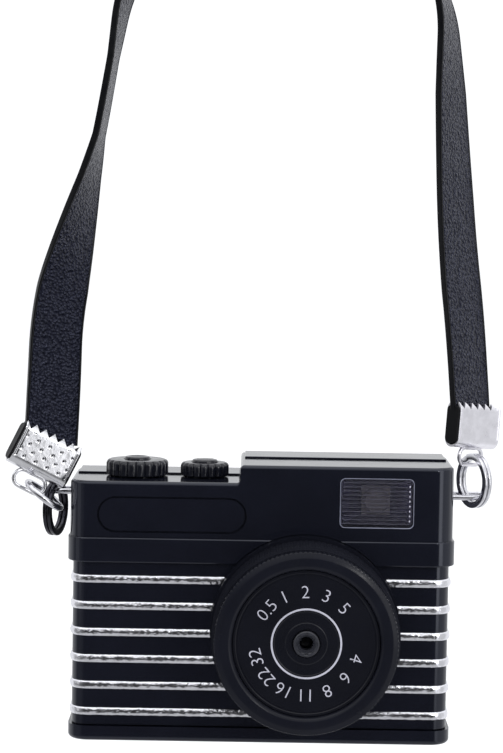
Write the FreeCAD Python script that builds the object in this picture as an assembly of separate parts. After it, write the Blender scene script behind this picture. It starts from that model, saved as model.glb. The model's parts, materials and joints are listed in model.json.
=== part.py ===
import FreeCAD, Part
import math
import os

from FreeCAD import Placement, Rotation, Vector

# Miniature camera on a flat neck strap. Lengths are in millimetres.
# The camera is laid out in its own frame: X to the right seen from the front, Y from the front
# to the back with the upper front face at y = 0, Z up from the underside of the base.
# move_to_hanger() shifts every piece so that the origin is where the strap loop hangs.

# Case
CASE_WIDTH = 56.0
CASE_DEPTH = 18.84
CORNER_RADIUS = 3.0
SEAM_Y = 10.06
SEAM_GROOVE = (0.16, 0.2)
REAR_STEP = 0.25
REAR_STEP_INSET = 0.6
REAR_STEP_ROUNDING = 0.12
WALL = 1.4
GRIP_INSET = 0.45
BASE_TOP = 2.2
COVER_BOTTOM = 2.35
GRIP_TOP = 26.35
TIER_TOP = 30.0
TIER_PROUD = 0.3
TIER_ROUNDING = 0.22
DECK_ROUNDING = 0.55
LOW_DECK_Z = 38.22
HIGH_DECK_Z = 40.82
DECK_STEP_X = -3.2
INNER_X = CASE_WIDTH / 2 - GRIP_INSET - WALL
INNER_FRONT = GRIP_INSET + WALL
INNER_BACK = CASE_DEPTH - GRIP_INSET - WALL

# Trim stripes
STRIPE_COUNT = 6
STRIPE_FIRST_Z = 4.30
STRIPE_PITCH = 3.91
STRIPE_HEIGHT = 1.25
STRIPE_PROUD = 0.32
STRIPE_SUNK = 0.4
STRIPE_END_Y = 9.9

# Name plate and flash
PLATE_X = (-23.95, -2.2)
PLATE_Z = 33.4
PLATE_HEIGHT = 5.3
PLATE_RECESS = 0.5
PLATE_GAP = 0.28
WINDOW_X = 16.71
WINDOW_Z = 35.55
WINDOW_WIDTH = 10.9
WINDOW_HEIGHT = 7.4
WINDOW_RIBS = 11
LED_RADIUS = 2.0

# Lens
LENS_X = 6.5
LENS_Z = 17.04
FLANGE_RADIUS = 13.76
FLANGE_FRONT = -2.2
RING_RADIUS = 13.45
RING_FRONT = -10.45
RING_BACK = -2.35
RING_BORE = 11.9
RING_TEETH = 90
BEZEL_RADIUS = 13.11
BEZEL_FRONT = -12.75
BEZEL_BACK = -10.6
BEZEL_TEETH = 120
FACE_RADIUS = 10.45
FACE_FRONT = -12.0
FACE_BACK = -11.2
TUBE_RADIUS = 11.8
TUBE_BORE = 11.0
CELL_FRONT = -12.35
CELL_SHOULDER = -10.6
CELL_BACK = -3.4
NOSE_RADIUS = 1.85
CELL_RADIUS = 3.2
CELL_BORE = 2.5
FOCUS_TRAVEL = 0.5
PIN_RADIUS = 0.5
PIN_Y = -7.45
PIN_REACH = 12.3
PIN_CLEARANCE = 0.15
PIN_SLOT_Y = (PIN_Y - PIN_RADIUS - FOCUS_TRAVEL - PIN_CLEARANCE, PIN_Y + PIN_RADIUS + PIN_CLEARANCE)

# Top controls
DIAL_Y = 8.2
MODE_X = -18.55
SELECT_X = -8.55
MODE_RADIUS = 4.62
SELECT_RADIUS = 3.6
MODE_TOP = LOW_DECK_Z + 2.45
SELECT_TOP = LOW_DECK_Z + 2.15
MODE_HUB = 2.9
SELECT_HUB = 2.6
MODE_FLUTES = 20
SELECT_FLUTES = 18
FLUTE_DEPTH = 0.28
HUB_CLEARANCE = 0.06
DECK_GAP = 0.12
BUTTON_RADIUS = 1.9
BUTTON_CLEARANCE = 0.08
BUTTON_PROUD = 0.4
BUTTON_BASE_Z = 38.95
STEM_RADIUS = 0.8
STEM_BOTTOM = 35.05
SPRING_RADIUS = 1.45
SPRING_WIRE = 0.28
SPRING_TURNS = 3
SHELF_Z = 37.1
HUB_BOTTOM = 36.0
CLIP_Z = (36.15, 36.65)
CLIP_DEPTH = 0.3

# Boards and what sits on them
BOARD_FRONT = 11.2
BOARD_BACK = 12.0
SWITCH_BOARD_TOP = 34.0
CARD_SIZE = (15.0, 0.9, 11.0)
CARD_Z = 21.3
CARD_END_X = 28.1
USB_Z = 11.4

# Screws
BOSS_X = 24.1
BOSS_Z = (4.9, 29.0)
BOSS_RADIUS = 2.0
PILOT_RADIUS = 0.75
BASE_SCREW_X = 21.5
BASE_SCREW_Y = 3.6

# Strap lugs and rings
LUG_Y = 7.8
LUG_Z = 35.7
LUG_WIRE = 0.45
LUG_REACH = 33.5
LUG_PLATE_HALF = 1.05
LUG_SPAN = 4.2
SPLIT_OUTER = 4.1
SPLIT_RADIAL = 1.0
SPLIT_WIDTH = 1.3
SPLIT_GAP = 0.06
SPLIT_RIGHT_X = 31.4
SPLIT_RIGHT_TURN = 27.0
SPLIT_LEFT_X = -30.6
SPLIT_LEFT_TURN = -15.0
SPLIT_CLEARANCE = 0.12
JUMP_RADIUS = 3.02
JUMP_WIRE = 0.475

# Strap clamps
CLAMP_WIDTH = 9.2
CLAMP_HEIGHT = 6.7
CLAMP_SHEET = 0.75
CLAMP_TEETH = 6
CLAMP_NOTCH = 0.9
LOOP_RADIUS = 1.25
LOOP_HALF_RUN = 1.3
LOOP_WIRE = 0.4
LOOP_DROP = 1.2
LEFT_TURN = 20.0
LEFT_LEAN = 27.5
RIGHT_TURN = 45.0
RIGHT_LEAN = 6.0
# Where the ring lies in each clamp's loop, across it and up from its middle
LEFT_RING_IN_LOOP = (-0.19, -0.16)
RIGHT_RING_IN_LOOP = (1.0, 0.0)

# Strap: width, thickness and the middle line's route, from the left clamp to the right one.
# A point of the route is X, the distance behind the lugs' front wires, and Z.
STRAP_WIDTH = 8.0
STRAP_THICKNESS = 1.1
ARC_SHARE = 0.45
STRAP_ROUTE = [
    (-31.16, -3.02, 42.9),
    (-30.8, -2.5, 51.5),
    (-30.5, -2.35, 62.5),
    (-27.7, -2.15, 75.0),
    (-24.9, -1.95, 86.5),
    (-22.8, -1.7, 98.8),
    (-20.9, -1.45, 111.1),
    (-13.8, -1.15, 120.7),
    (-3.1, -0.9, 125.9),
    (8.9, -0.65, 125.4),
    (19.3, -0.4, 119.6),
    (25.9, -0.3, 109.6),
    (26.6, -0.25, 97.0),
    (27.35, -0.35, 84.5),
    (28.3, -0.6, 71.5),
    (29.8, -1.5, 58.5),
    (30.8, -0.55, 45.6),
]
# How far the strap is turned from facing front, in degrees, at shares of its length.
STRAP_TURNS = [
    (0.0, 20.0),
    (0.04, 20.0),
    (0.12, 28.0),
    (0.168, 54.0),
    (0.208, 74.0),
    (0.24, 86.0),
    (0.30, 87.0),
    (0.35, 79.0),
    (0.42, 90.0),
    (0.58, 90.0),
    (0.66, 76.0),
    (0.74, 57.5),
    (0.82, 49.0),
    (0.89, 44.0),
    (0.95, 45.0),
    (1.0, 45.0),
]
SECTION_STEP = 3.5

# The inner side of the strap loop's top, where it hangs
HANGER = Vector(2.9, LUG_Y - 0.78, 125.1)

BACK = Vector(0, 1, 0)
UP = Vector(0, 0, 1)


def box(x0, x1, y0, y1, z0, z1):
    return Part.makeBox(x1 - x0, y1 - y0, z1 - z0, Vector(x0, y0, z0))


def upright_edges(shape):
    """The straight edges that run along Z."""
    found = []
    for edge in shape.Edges:
        a = edge.Vertexes[0].Point
        b = edge.Vertexes[-1].Point
        if abs(a.x - b.x) < 1e-6 and abs(a.y - b.y) < 1e-6 and abs(a.z - b.z) > 1e-6:
            found.append(edge)
    return found


def edges_at_height(shape, z):
    found = []
    for edge in shape.Edges:
        box_of_edge = edge.BoundBox
        if abs(box_of_edge.ZMin - z) < 1e-4 and abs(box_of_edge.ZMax - z) < 1e-4:
            found.append(edge)
    return found


def rounded_block(x0, x1, y0, y1, z0, z1, radius):
    block = box(x0, x1, y0, y1, z0, z1)
    return block.makeFillet(radius, upright_edges(block))


def case_block(inset, z0, z1):
    """A rounded block of the case's plan, drawn in by inset on all sides."""
    half = CASE_WIDTH / 2 - inset
    return rounded_block(-half, half, inset, CASE_DEPTH - inset, z0, z1, CORNER_RADIUS - inset)


def rounded_slab(x, z, width, height, y0, y1, radius):
    """A flat slab facing front, with rounded corners."""
    slab = Part.makeBox(width, height, y1 - y0, Vector(-width / 2, -height / 2, 0))
    slab = slab.makeFillet(radius, upright_edges(slab))
    slab.Placement = Placement(Vector(x, y1, z), Rotation(Vector(1, 0, 0), 90))
    return slab


def pill(x0, x1, z, height, y0, y1):
    radius = height / 2
    middle = box(x0 + radius, x1 - radius, y0, y1, z - radius, z + radius)
    left = Part.makeCylinder(radius, y1 - y0, Vector(x0 + radius, y0, z), BACK)
    right = Part.makeCylinder(radius, y1 - y0, Vector(x1 - radius, y0, z), BACK)
    return middle.fuse([left, right]).removeSplitter()


def lens_disc(radius, y0, y1):
    return Part.makeCylinder(radius, y1 - y0, Vector(LENS_X, y0, LENS_Z), BACK)


def lens_ring(outer, inner, y0, y1):
    return lens_disc(outer, y0, y1).cut(lens_disc(inner, y0 - 0.1, y1 + 0.1))


def post(x, y, z0, z1, radius):
    return Part.makeCylinder(radius, z1 - z0, Vector(x, y, z0), UP)


def rod_back(x, z, y0, y1, radius):
    return Part.makeCylinder(radius, y1 - y0, Vector(x, y0, z), BACK)


def toothed_prism(outer, depth, teeth, height):
    """A prism along +Z from the origin with straight teeth all round."""
    points = []
    for tooth in range(teeth):
        for share, radius in ((0.0, outer - depth), (0.3, outer), (0.7, outer)):
            angle = 2 * math.pi * (tooth + share) / teeth
            points.append(Vector(radius * math.cos(angle), radius * math.sin(angle), 0))
    points.append(points[0])
    return Part.Face(Part.makePolygon(points)).extrude(Vector(0, 0, height))


def toothed_ring_on_lens(outer, depth, teeth, y0, y1):
    prism = toothed_prism(outer, depth, teeth, y1 - y0)
    prism.Placement = Placement(Vector(LENS_X, y1, LENS_Z), Rotation(Vector(1, 0, 0), 90))
    return prism


def boss_places():
    return [(side * BOSS_X, z) for side in (-1, 1) for z in BOSS_Z]


def outer_case():
    """The case's outside: grip, proud lower tier, upper tier and the raised right deck."""
    grip = case_block(GRIP_INSET, COVER_BOTTOM, GRIP_TOP)
    tier = case_block(-TIER_PROUD, GRIP_TOP, TIER_TOP)
    rim = edges_at_height(tier, GRIP_TOP) + edges_at_height(tier, TIER_TOP)
    tier = tier.makeFillet(TIER_ROUNDING, rim)
    upper = case_block(0, TIER_TOP, HIGH_DECK_Z)
    left_side = box(-CASE_WIDTH, DECK_STEP_X, -5, CASE_DEPTH + 5, LOW_DECK_Z, HIGH_DECK_Z + 5)
    upper = upper.cut(left_side)
    upper = upper.makeFillet(DECK_ROUNDING, edges_at_height(upper, LOW_DECK_Z)[1:])
    upper = upper.makeFillet(DECK_ROUNDING, edges_at_height(upper, HIGH_DECK_Z))
    return grip.fuse([tier, upper])


def seam_groove():
    """A shallow step round the rear cover where it meets the front one."""
    width, depth = SEAM_GROOVE
    inside = case_block(GRIP_INSET + depth, -1, GRIP_TOP)
    inside = inside.fuse(case_block(depth - TIER_PROUD, GRIP_TOP, TIER_TOP))
    low_deck = case_block(depth, TIER_TOP, LOW_DECK_Z - depth)
    high_deck = case_block(depth, TIER_TOP, HIGH_DECK_Z - depth)
    high_deck = high_deck.cut(box(-CASE_WIDTH, DECK_STEP_X + depth, -5, 50, 0, 50))
    slab = box(-CASE_WIDTH, CASE_WIDTH, SEAM_Y, SEAM_Y + width, -1, HIGH_DECK_Z + 1)
    return slab.cut(inside.fuse([low_deck, high_deck]))


def inner_case():
    """The case's hollow, under both decks."""
    radius = 1.4
    low = rounded_block(-INNER_X, INNER_X, INNER_FRONT, INNER_BACK, 0, LOW_DECK_Z - WALL, radius)
    high_x = DECK_STEP_X + WALL
    high = rounded_block(high_x, INNER_X, INNER_FRONT, INNER_BACK, 20, HIGH_DECK_Z - WALL, radius)
    return low.fuse(high)


def stripe_bands():
    """Six bands round the grip, from one side's seam past the front to the other's."""
    half = CASE_WIDTH / 2 - GRIP_INSET
    bands = []
    for row in range(STRIPE_COUNT):
        middle = STRIPE_FIRST_Z + row * STRIPE_PITCH
        z0 = middle - STRIPE_HEIGHT / 2
        z1 = middle + STRIPE_HEIGHT / 2
        outside = case_block(GRIP_INSET - STRIPE_PROUD, z0, z1)
        rim = edges_at_height(outside, z0) + edges_at_height(outside, z1)
        outside = outside.makeFillet(0.25, rim)
        inside = case_block(GRIP_INSET + STRIPE_SUNK, z0 - 1, z1 + 1)
        behind = box(-half - 5, half + 5, STRIPE_END_Y, CASE_DEPTH + 5, z0 - 1, z1 + 1)
        band = outside.cut(inside).cut(behind)
        bands.append(band.cut(lens_disc(FLANGE_RADIUS + 0.1, -5, 5)))
    return bands


def trim_stripes():
    sides = {"left": [], "right": []}
    for band in stripe_bands():
        for strip in band.Solids:
            side = "left" if strip.CenterOfMass.x < LENS_X else "right"
            sides[side].append(strip)
    return {side: Part.makeCompound(strips) for side, strips in sides.items()}


def lug_holes():
    holes = []
    for side in (-1, 1):
        for y in (LUG_Y, LUG_Y + LUG_SPAN):
            start = Vector(side * (INNER_X - 1), y, LUG_Z)
            holes.append(Part.makeCylinder(LUG_WIRE + 0.02, 6, start, Vector(side, 0, 0)))
    return holes


def dial_holes():
    return [
        post(MODE_X, DIAL_Y, 30, LOW_DECK_Z + 1, MODE_HUB + HUB_CLEARANCE),
        post(SELECT_X, DIAL_Y, 30, LOW_DECK_Z + 1, SELECT_HUB + HUB_CLEARANCE),
    ]


def front_cover():
    shell = outer_case().cut(inner_case())
    shell = shell.cut(box(-40, 40, SEAM_Y, 40, -5, 60))
    for x, z in boss_places():
        shell = shell.fuse(rod_back(x, z, INNER_FRONT - 0.2, SEAM_Y, BOSS_RADIUS))
    for side in (-1, 1):
        shell = shell.fuse(post(side * BASE_SCREW_X, BASE_SCREW_Y, COVER_BOTTOM, 9.0, 1.9))
    cuts = [rod_back(x, z, 4.0, SEAM_Y + 1, PILOT_RADIUS) for x, z in boss_places()]
    cuts += [post(side * BASE_SCREW_X, BASE_SCREW_Y, 0, 7.4, 0.6) for side in (-1, 1)]
    cuts += lug_holes() + dial_holes() + stripe_bands()
    cuts.append(lens_disc(FLANGE_RADIUS + 0.1, -2, GRIP_INSET))
    cuts.append(lens_disc(TUBE_RADIUS + 0.05, -2, INNER_FRONT + 1))
    top_plate = pill(PLATE_X[0], PLATE_X[1], PLATE_Z, PLATE_HEIGHT, -1, PLATE_RECESS)
    window = rounded_slab(WINDOW_X, WINDOW_Z, WINDOW_WIDTH, WINDOW_HEIGHT, -1, 3, 0.8)
    cuts += [top_plate, window]
    return shell.cut(cuts)


def rear_deck_steps():
    """The rear cover stands a little proud of the front one on both decks, clear of the dials."""
    y0 = SEAM_Y + SEAM_GROOVE[0]
    y1 = CASE_DEPTH - REAR_STEP_INSET
    left = REAR_STEP_INSET - CASE_WIDTH / 2
    right = CASE_WIDTH / 2 - REAR_STEP_INSET
    steps = []
    for x0, x1, deck in (
        (left, DECK_STEP_X - DECK_GAP, LOW_DECK_Z),
        (DECK_STEP_X + REAR_STEP_INSET, right, HIGH_DECK_Z),
    ):
        top = deck + REAR_STEP
        step = box(x0, x1, y0, y1, deck - REAR_STEP, top)
        steps.append(step.makeFillet(REAR_STEP_ROUNDING, edges_at_height(step, top)))
    clear_of_mode = post(MODE_X, DIAL_Y, LOW_DECK_Z, LOW_DECK_Z + 1, MODE_RADIUS + REAR_STEP)
    clear_of_select = post(SELECT_X, DIAL_Y, LOW_DECK_Z, LOW_DECK_Z + 1, SELECT_RADIUS + REAR_STEP)
    steps[0] = steps[0].cut([clear_of_mode, clear_of_select])
    return steps


def rear_cover():
    shell = outer_case().cut(inner_case())
    shell = shell.cut(box(-40, 40, -5, SEAM_Y, -5, 60))
    shell = shell.fuse(rear_deck_steps())
    back = INNER_BACK + 0.2
    for x, z in boss_places():
        shell = shell.fuse(rod_back(x, z, SEAM_Y, back, BOSS_RADIUS))
    cuts = []
    for x, z in boss_places():
        cuts.append(rod_back(x, z, SEAM_Y - 1, CASE_DEPTH + 1, 1.0))
        cuts.append(rod_back(x, z, CASE_DEPTH - 2.4, CASE_DEPTH + 1, 1.75))
    for row in range(STRIPE_COUNT):
        z = STRIPE_FIRST_Z + row * STRIPE_PITCH
        cuts.append(box(-20, 20, CASE_DEPTH - GRIP_INSET - 0.3, CASE_DEPTH, z - 0.5, z + 0.5))
    card_half = CARD_SIZE[2] / 2 + 0.2
    cuts.append(box(25, 30, 12.35, 13.6, CARD_Z - card_half, CARD_Z + card_half))
    cuts.append(box(25, 30, 11.75, 14.95, USB_Z - 3.95, USB_Z + 3.95))
    cuts.append(rod_back(12, 31.5, 16, 20, 0.5))
    cuts.append(rod_back(17, 31.5, 16, 20, 0.85))
    cuts += lug_holes() + dial_holes()
    cuts.append(seam_groove())
    return shell.cut(cuts)


def base_plate():
    plate = case_block(-0.05, 0, BASE_TOP)
    plate = plate.makeFillet(0.7, edges_at_height(plate, 0))
    rim = case_block(GRIP_INSET + WALL + 0.2, BASE_TOP, BASE_TOP + 1.0)
    hollow = case_block(GRIP_INSET + WALL + 1.1, BASE_TOP, BASE_TOP + 2.0)
    rim = rim.cut(hollow)
    rim = rim.cut([rod_back(x, z, 0, 20, BOSS_RADIUS + 0.15) for x, z in boss_places()])
    plate = plate.fuse(rim)
    for side in (-1, 1):
        x = side * BASE_SCREW_X
        plate = plate.cut(post(x, BASE_SCREW_Y, BASE_TOP, BASE_TOP + 2, 2.05))
        plate = plate.cut(post(x, BASE_SCREW_Y, -1, 5, 0.85))
        plate = plate.cut(post(x, BASE_SCREW_Y, -1, 0.9, 1.5))
    return plate


def name_plate():
    gap = PLATE_GAP
    height = PLATE_HEIGHT - 2 * gap
    return pill(PLATE_X[0] + gap, PLATE_X[1] - gap, PLATE_Z, height, 0.12, PLATE_RECESS)


def flash_window():
    width = WINDOW_WIDTH - 0.2
    height = WINDOW_HEIGHT - 0.2
    pane = rounded_slab(WINDOW_X, WINDOW_Z, width, height, 0.2, INNER_FRONT, 0.7)
    flange = rounded_slab(WINDOW_X, WINDOW_Z, 12.2, 7.6, INNER_FRONT, INNER_FRONT + 0.5, 0.6)
    ribs = []
    pitch = (height - 0.8) / WINDOW_RIBS
    for row in range(WINDOW_RIBS):
        z = WINDOW_Z - height / 2 + 0.4 + (row + 0.5) * pitch
        ribs.append(box(WINDOW_X - 4.9, WINDOW_X + 4.4, 0.05, 0.3, z - pitch / 4, z + pitch / 4))
    return pane.fuse([flange] + ribs)


def flash_reflector():
    y0 = INNER_FRONT + 0.5
    body = rounded_slab(WINDOW_X, WINDOW_Z, 11.6, 7.5, y0, y0 + 3.0, 0.6)
    mouth = Part.makePolygon([
        Vector(WINDOW_X - 5.2, y0, WINDOW_Z - 3.3),
        Vector(WINDOW_X + 5.2, y0, WINDOW_Z - 3.3),
        Vector(WINDOW_X + 5.2, y0, WINDOW_Z + 3.3),
        Vector(WINDOW_X - 5.2, y0, WINDOW_Z + 3.3),
        Vector(WINDOW_X - 5.2, y0, WINDOW_Z - 3.3),
    ])
    half = LED_RADIUS + 0.15
    throat = Part.makePolygon([
        Vector(WINDOW_X - half, y0 + 3.0, WINDOW_Z - half),
        Vector(WINDOW_X + half, y0 + 3.0, WINDOW_Z - half),
        Vector(WINDOW_X + half, y0 + 3.0, WINDOW_Z + half),
        Vector(WINDOW_X - half, y0 + 3.0, WINDOW_Z + half),
        Vector(WINDOW_X - half, y0 + 3.0, WINDOW_Z - half),
    ])
    return body.cut(Part.makeLoft([mouth, throat], True, True))


def flash_led():
    y1 = INNER_FRONT + 3.5
    base = box(WINDOW_X - 2.1, WINDOW_X + 2.1, y1 - 0.6, y1, WINDOW_Z - 2.1, WINDOW_Z + 2.1)
    dome = Part.makeSphere(LED_RADIUS, Vector(WINDOW_X, y1 - 0.6, WINDOW_Z))
    front_half = box(WINDOW_X - 3, WINDOW_X + 3, y1 - 1.8, y1 - 0.6, WINDOW_Z - 3, WINDOW_Z + 3)
    return base.fuse(dome.common(front_half))


def flash_board():
    y0 = INNER_FRONT + 3.5
    return box(WINDOW_X - 5.5, WINDOW_X + 5.5, y0, y0 + 0.8, WINDOW_Z - 3.7, WINDOW_Z + 3.7)


def lens_barrel():
    """The fixed barrel: flange on the cover, tube through it, lip in front and web behind."""
    flange = lens_ring(FLANGE_RADIUS, TUBE_RADIUS - 0.1, FLANGE_FRONT, GRIP_INSET)
    tube = lens_ring(TUBE_RADIUS, TUBE_BORE, FACE_BACK, INNER_FRONT + 1.0)
    lip = lens_ring(TUBE_RADIUS, 9.6, FACE_BACK, BEZEL_BACK)
    web = lens_ring(TUBE_BORE + 0.1, 4.7, -2.4, -1.4)
    barrel = flange.fuse([tube, lip, web])
    half = PIN_RADIUS + PIN_CLEARANCE
    slot = box(LENS_X - half, LENS_X + half, *PIN_SLOT_Y, LENS_Z - 13, LENS_Z - 10)
    return barrel.cut(slot)


def lens_lock_ring():
    return lens_ring(13.3, TUBE_RADIUS, INNER_FRONT, INNER_FRONT + 1.0)


def focus_ring():
    ring = toothed_ring_on_lens(RING_RADIUS, 0.22, RING_TEETH, RING_FRONT + 0.6, RING_BACK - 0.6)
    ring = ring.fuse(lens_disc(RING_RADIUS - 0.3, RING_FRONT, RING_BACK))
    groove = lens_disc(PIN_REACH + 0.15, *PIN_SLOT_Y)
    return ring.cut([lens_disc(RING_BORE, -20, 5), groove])


def lens_bezel():
    ring = toothed_ring_on_lens(BEZEL_RADIUS, 0.12, BEZEL_TEETH, BEZEL_FRONT + 0.3, BEZEL_BACK)
    ring = ring.fuse(lens_disc(BEZEL_RADIUS - 0.12, BEZEL_FRONT, BEZEL_BACK))
    mouth = lens_disc(FACE_RADIUS + 0.05, BEZEL_FRONT - 1, FACE_BACK + 0.1)
    socket = lens_disc(TUBE_RADIUS, FACE_BACK, BEZEL_BACK + 1)
    return ring.cut([mouth, socket])


def lens_face_plate():
    return lens_ring(FACE_RADIUS, NOSE_RADIUS + 0.1, FACE_FRONT, FACE_BACK)


def lens_cell():
    nose = lens_disc(NOSE_RADIUS, CELL_FRONT, CELL_SHOULDER)
    nose = nose.makeFillet(0.25, [nose.Edges[0]])
    body = lens_disc(CELL_RADIUS, CELL_SHOULDER, CELL_BACK)
    mouth = Part.makeCone(1.3, 0.95, 0.6, Vector(LENS_X, CELL_FRONT, LENS_Z), BACK)
    throat = lens_disc(0.95, CELL_FRONT, CELL_SHOULDER + 1)
    cavity = lens_disc(CELL_BORE, CELL_SHOULDER + 0.3, CELL_BACK + 1)
    arm_hole = Part.makeCylinder(PIN_RADIUS, 4, Vector(LENS_X, PIN_Y, LENS_Z - 5), UP)
    arm_hole = arm_hole.cut(lens_disc(CELL_BORE + 0.2, -20, 5))
    return nose.fuse(body).cut([mouth, throat, cavity, arm_hole])


def focus_pin():
    """The pin that ties the lens cell to the focus ring through the barrel's slot."""
    length = PIN_REACH - CELL_BORE - 0.25
    return Part.makeCylinder(PIN_RADIUS, length, Vector(LENS_X, PIN_Y, LENS_Z - PIN_REACH), UP)


def glass(radius, y0, y1, front_bulge, back_bulge):
    """A lens element: a short cylinder between two shallow domes."""
    solid = lens_disc(radius, y0, y1)
    for bulge, y, side in ((front_bulge, y0, -1), (back_bulge, y1, 1)):
        sphere_radius = (radius ** 2 + bulge ** 2) / (2 * bulge)
        centre = Vector(LENS_X, y - side * (sphere_radius - bulge), LENS_Z)
        near = lens_disc(radius, min(y, y + side * bulge * 1.1), max(y, y + side * bulge * 1.1))
        solid = solid.fuse(Part.makeSphere(sphere_radius, centre).common(near))
    return solid


def lens_spacer():
    return lens_ring(CELL_BORE - 0.02, 1.9, -8.75, -6.0)


def lens_retainer():
    return lens_ring(CELL_BORE, 1.7, -4.2, -3.5)


def lens_holder():
    base = box(LENS_X - 5, LENS_X + 5, -1.4, 0.6, LENS_Z - 5, LENS_Z + 5)
    cavity = box(LENS_X - 3.4, LENS_X + 3.4, -1.2, 0.6, LENS_Z - 3.4, LENS_Z + 3.4)
    seat = lens_disc(CELL_RADIUS + 0.06, -9, -2.6)
    window = lens_disc(2.4, -3, 0)
    holder = lens_disc(4.6, -8.9, -1.4).fuse(base)
    holder = holder.cut([cavity, seat, window])
    half = PIN_RADIUS + PIN_CLEARANCE
    slot = box(LENS_X - half, LENS_X + half, -8.95, -6.7, LENS_Z - 5, LENS_Z)
    return holder.cut(slot)


def ir_filter():
    return box(LENS_X - 3.3, LENS_X + 3.3, -1.2, -0.8, LENS_Z - 3.3, LENS_Z + 3.3)


def image_sensor():
    return box(LENS_X - 2.6, LENS_X + 2.6, -0.3, 0.6, LENS_Z - 2.6, LENS_Z + 2.6)


def sensor_board():
    return box(LENS_X - 6, LENS_X + 6, 0.6, 1.4, LENS_Z - 6, LENS_Z + 6)


def sensor_cable():
    down = box(LENS_X - 3, LENS_X + 3, 1.4, 1.7, 12.0, 16.0)
    back = box(LENS_X - 3, LENS_X + 3, 1.7, BOARD_FRONT, 12.0, 12.3)
    return down.fuse(back)


def dial(x, radius, top, hub, flutes):
    """A fluted dial with a hub through the deck, a bore for its button and a spring shelf."""
    bottom = LOW_DECK_Z + DECK_GAP
    grip = toothed_prism(radius, FLUTE_DEPTH, flutes, top - bottom - 0.75)
    grip.translate(Vector(x, DIAL_Y, bottom + 0.2))
    core = post(x, DIAL_Y, bottom, top, radius - FLUTE_DEPTH - 0.07)
    core = core.makeFillet(0.2, edges_at_height(core, top))
    shaft = post(x, DIAL_Y, HUB_BOTTOM, bottom, hub)
    bore = post(x, DIAL_Y, SHELF_Z, top + 1, BUTTON_RADIUS + BUTTON_CLEARANCE)
    stem_hole = post(x, DIAL_Y, HUB_BOTTOM - 1, SHELF_Z, STEM_RADIUS + 0.15)
    seat = post(x, DIAL_Y, *CLIP_Z, hub + 1).cut(post(x, DIAL_Y, 36, 37, hub - CLIP_DEPTH))
    return grip.fuse([core, shaft]).cut([bore, stem_hole, seat])


def dial_clip(x, hub):
    """The snap ring under the deck, in the hub's seat, with a gap at its back."""
    ring = post(x, DIAL_Y, *CLIP_Z, hub + 0.9).cut(post(x, DIAL_Y, 36, 37, hub - CLIP_DEPTH))
    gap = box(x - 0.7, x + 0.7, DIAL_Y, DIAL_Y + 6, 36, 37)
    return ring.cut(gap)


def dial_button(x, dial_top):
    """A domed button with a dished ring round its middle and a stem down to its switch."""
    top = dial_top + BUTTON_PROUD
    head = post(x, DIAL_Y, BUTTON_BASE_Z, top, BUTTON_RADIUS)
    head = head.makeFillet(0.3, edges_at_height(head, top))
    dish = Part.makeTorus(BUTTON_RADIUS * 0.55, 0.25, Vector(x, DIAL_Y, top + 0.08), UP)
    stem = post(x, DIAL_Y, STEM_BOTTOM, BUTTON_BASE_Z, STEM_RADIUS)
    return head.cut(dish).fuse(stem)


def button_spring(x):
    clearance = 0.02
    height = BUTTON_BASE_Z - SHELF_Z - SPRING_WIRE - 2 * clearance
    helix = Part.makeHelix(height / SPRING_TURNS, height, SPRING_RADIUS)
    wire = Part.makeCircle(SPRING_WIRE / 2, Vector(SPRING_RADIUS, 0, 0), Vector(0, 1, 0))
    spring = Part.Wire(helix).makePipeShell([Part.Wire(wire)], True, True)
    spring.translate(Vector(x, DIAL_Y, SHELF_Z + SPRING_WIRE / 2 + clearance))
    return spring


def switch_board():
    return box(-23.4, -4.6, 4.7, BOARD_FRONT, SWITCH_BOARD_TOP - 0.8, SWITCH_BOARD_TOP)


def tact_switches():
    switches = []
    for x in (MODE_X, SELECT_X):
        body = box(x - 1.75, x + 1.75, DIAL_Y - 1.75, DIAL_Y + 1.75, SWITCH_BOARD_TOP, 35.3)
        switches.append(body.cut(post(x, DIAL_Y, 34.3, 36, 0.9)))
    return Part.makeCompound(switches)


def main_board():
    wide = box(-21, 25.6, BOARD_FRONT, BOARD_BACK, 7.4, 26.6)
    tall = box(-21, 21, BOARD_FRONT, BOARD_BACK, 3.9, 34.6)
    return wide.fuse(tall).removeSplitter()


def processor():
    return box(-12, -4, BOARD_FRONT - 1.0, BOARD_FRONT, 16, 24)


def memory_chip():
    return box(-12, -6, BOARD_FRONT - 0.9, BOARD_FRONT, 26, 31)


def crystal():
    return box(-17, -14, BOARD_FRONT - 0.8, BOARD_FRONT, 19, 21)


def battery():
    pouch = rounded_block(-20.4, -2.6, 12.8, 16.6, 5.2, 30.2, 1.2)
    return pouch


def battery_pad():
    return box(-19, -4, BOARD_BACK, 12.8, 8, 28)


def card_socket():
    body = box(12, 25.4, BOARD_BACK, 13.9, CARD_Z - 5.8, CARD_Z + 5.4)
    slot = box(12.6, 26, 12.5, 12.6 + CARD_SIZE[1], CARD_Z - 5.6, CARD_Z + 5.55)
    return body.cut(slot)


def memory_card():
    length, depth, height = CARD_SIZE
    x0 = CARD_END_X - length
    z0 = CARD_Z - height / 2
    card = box(x0, CARD_END_X, 12.55, 12.55 + depth, z0, z0 + height - 0.15)
    notch = box(x0 - 1, x0 + 6, 12, 14, CARD_Z + 4.3, CARD_Z + 6)
    return card.cut(notch)


def usb_socket():
    shell = box(21.5, 27.3, BOARD_BACK, 14.7, USB_Z - 3.75, USB_Z + 3.75)
    hollow = box(22.0, 28, BOARD_BACK + 0.3, 14.4, USB_Z - 3.45, USB_Z + 3.45)
    tongue = box(21.9, 26.4, 13.5, 14.0, USB_Z - 2.6, USB_Z + 2.6)
    return shell.cut(hollow).fuse(tongue)


def microphone():
    return rod_back(12, 31.5, BOARD_BACK, 14.2, 1.6)


def status_led():
    return box(16.2, 17.8, BOARD_BACK, 12.9, 30.7, 32.3)


def status_light_pipe():
    return rod_back(17, 31.5, 12.9, CASE_DEPTH, 0.8)


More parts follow.
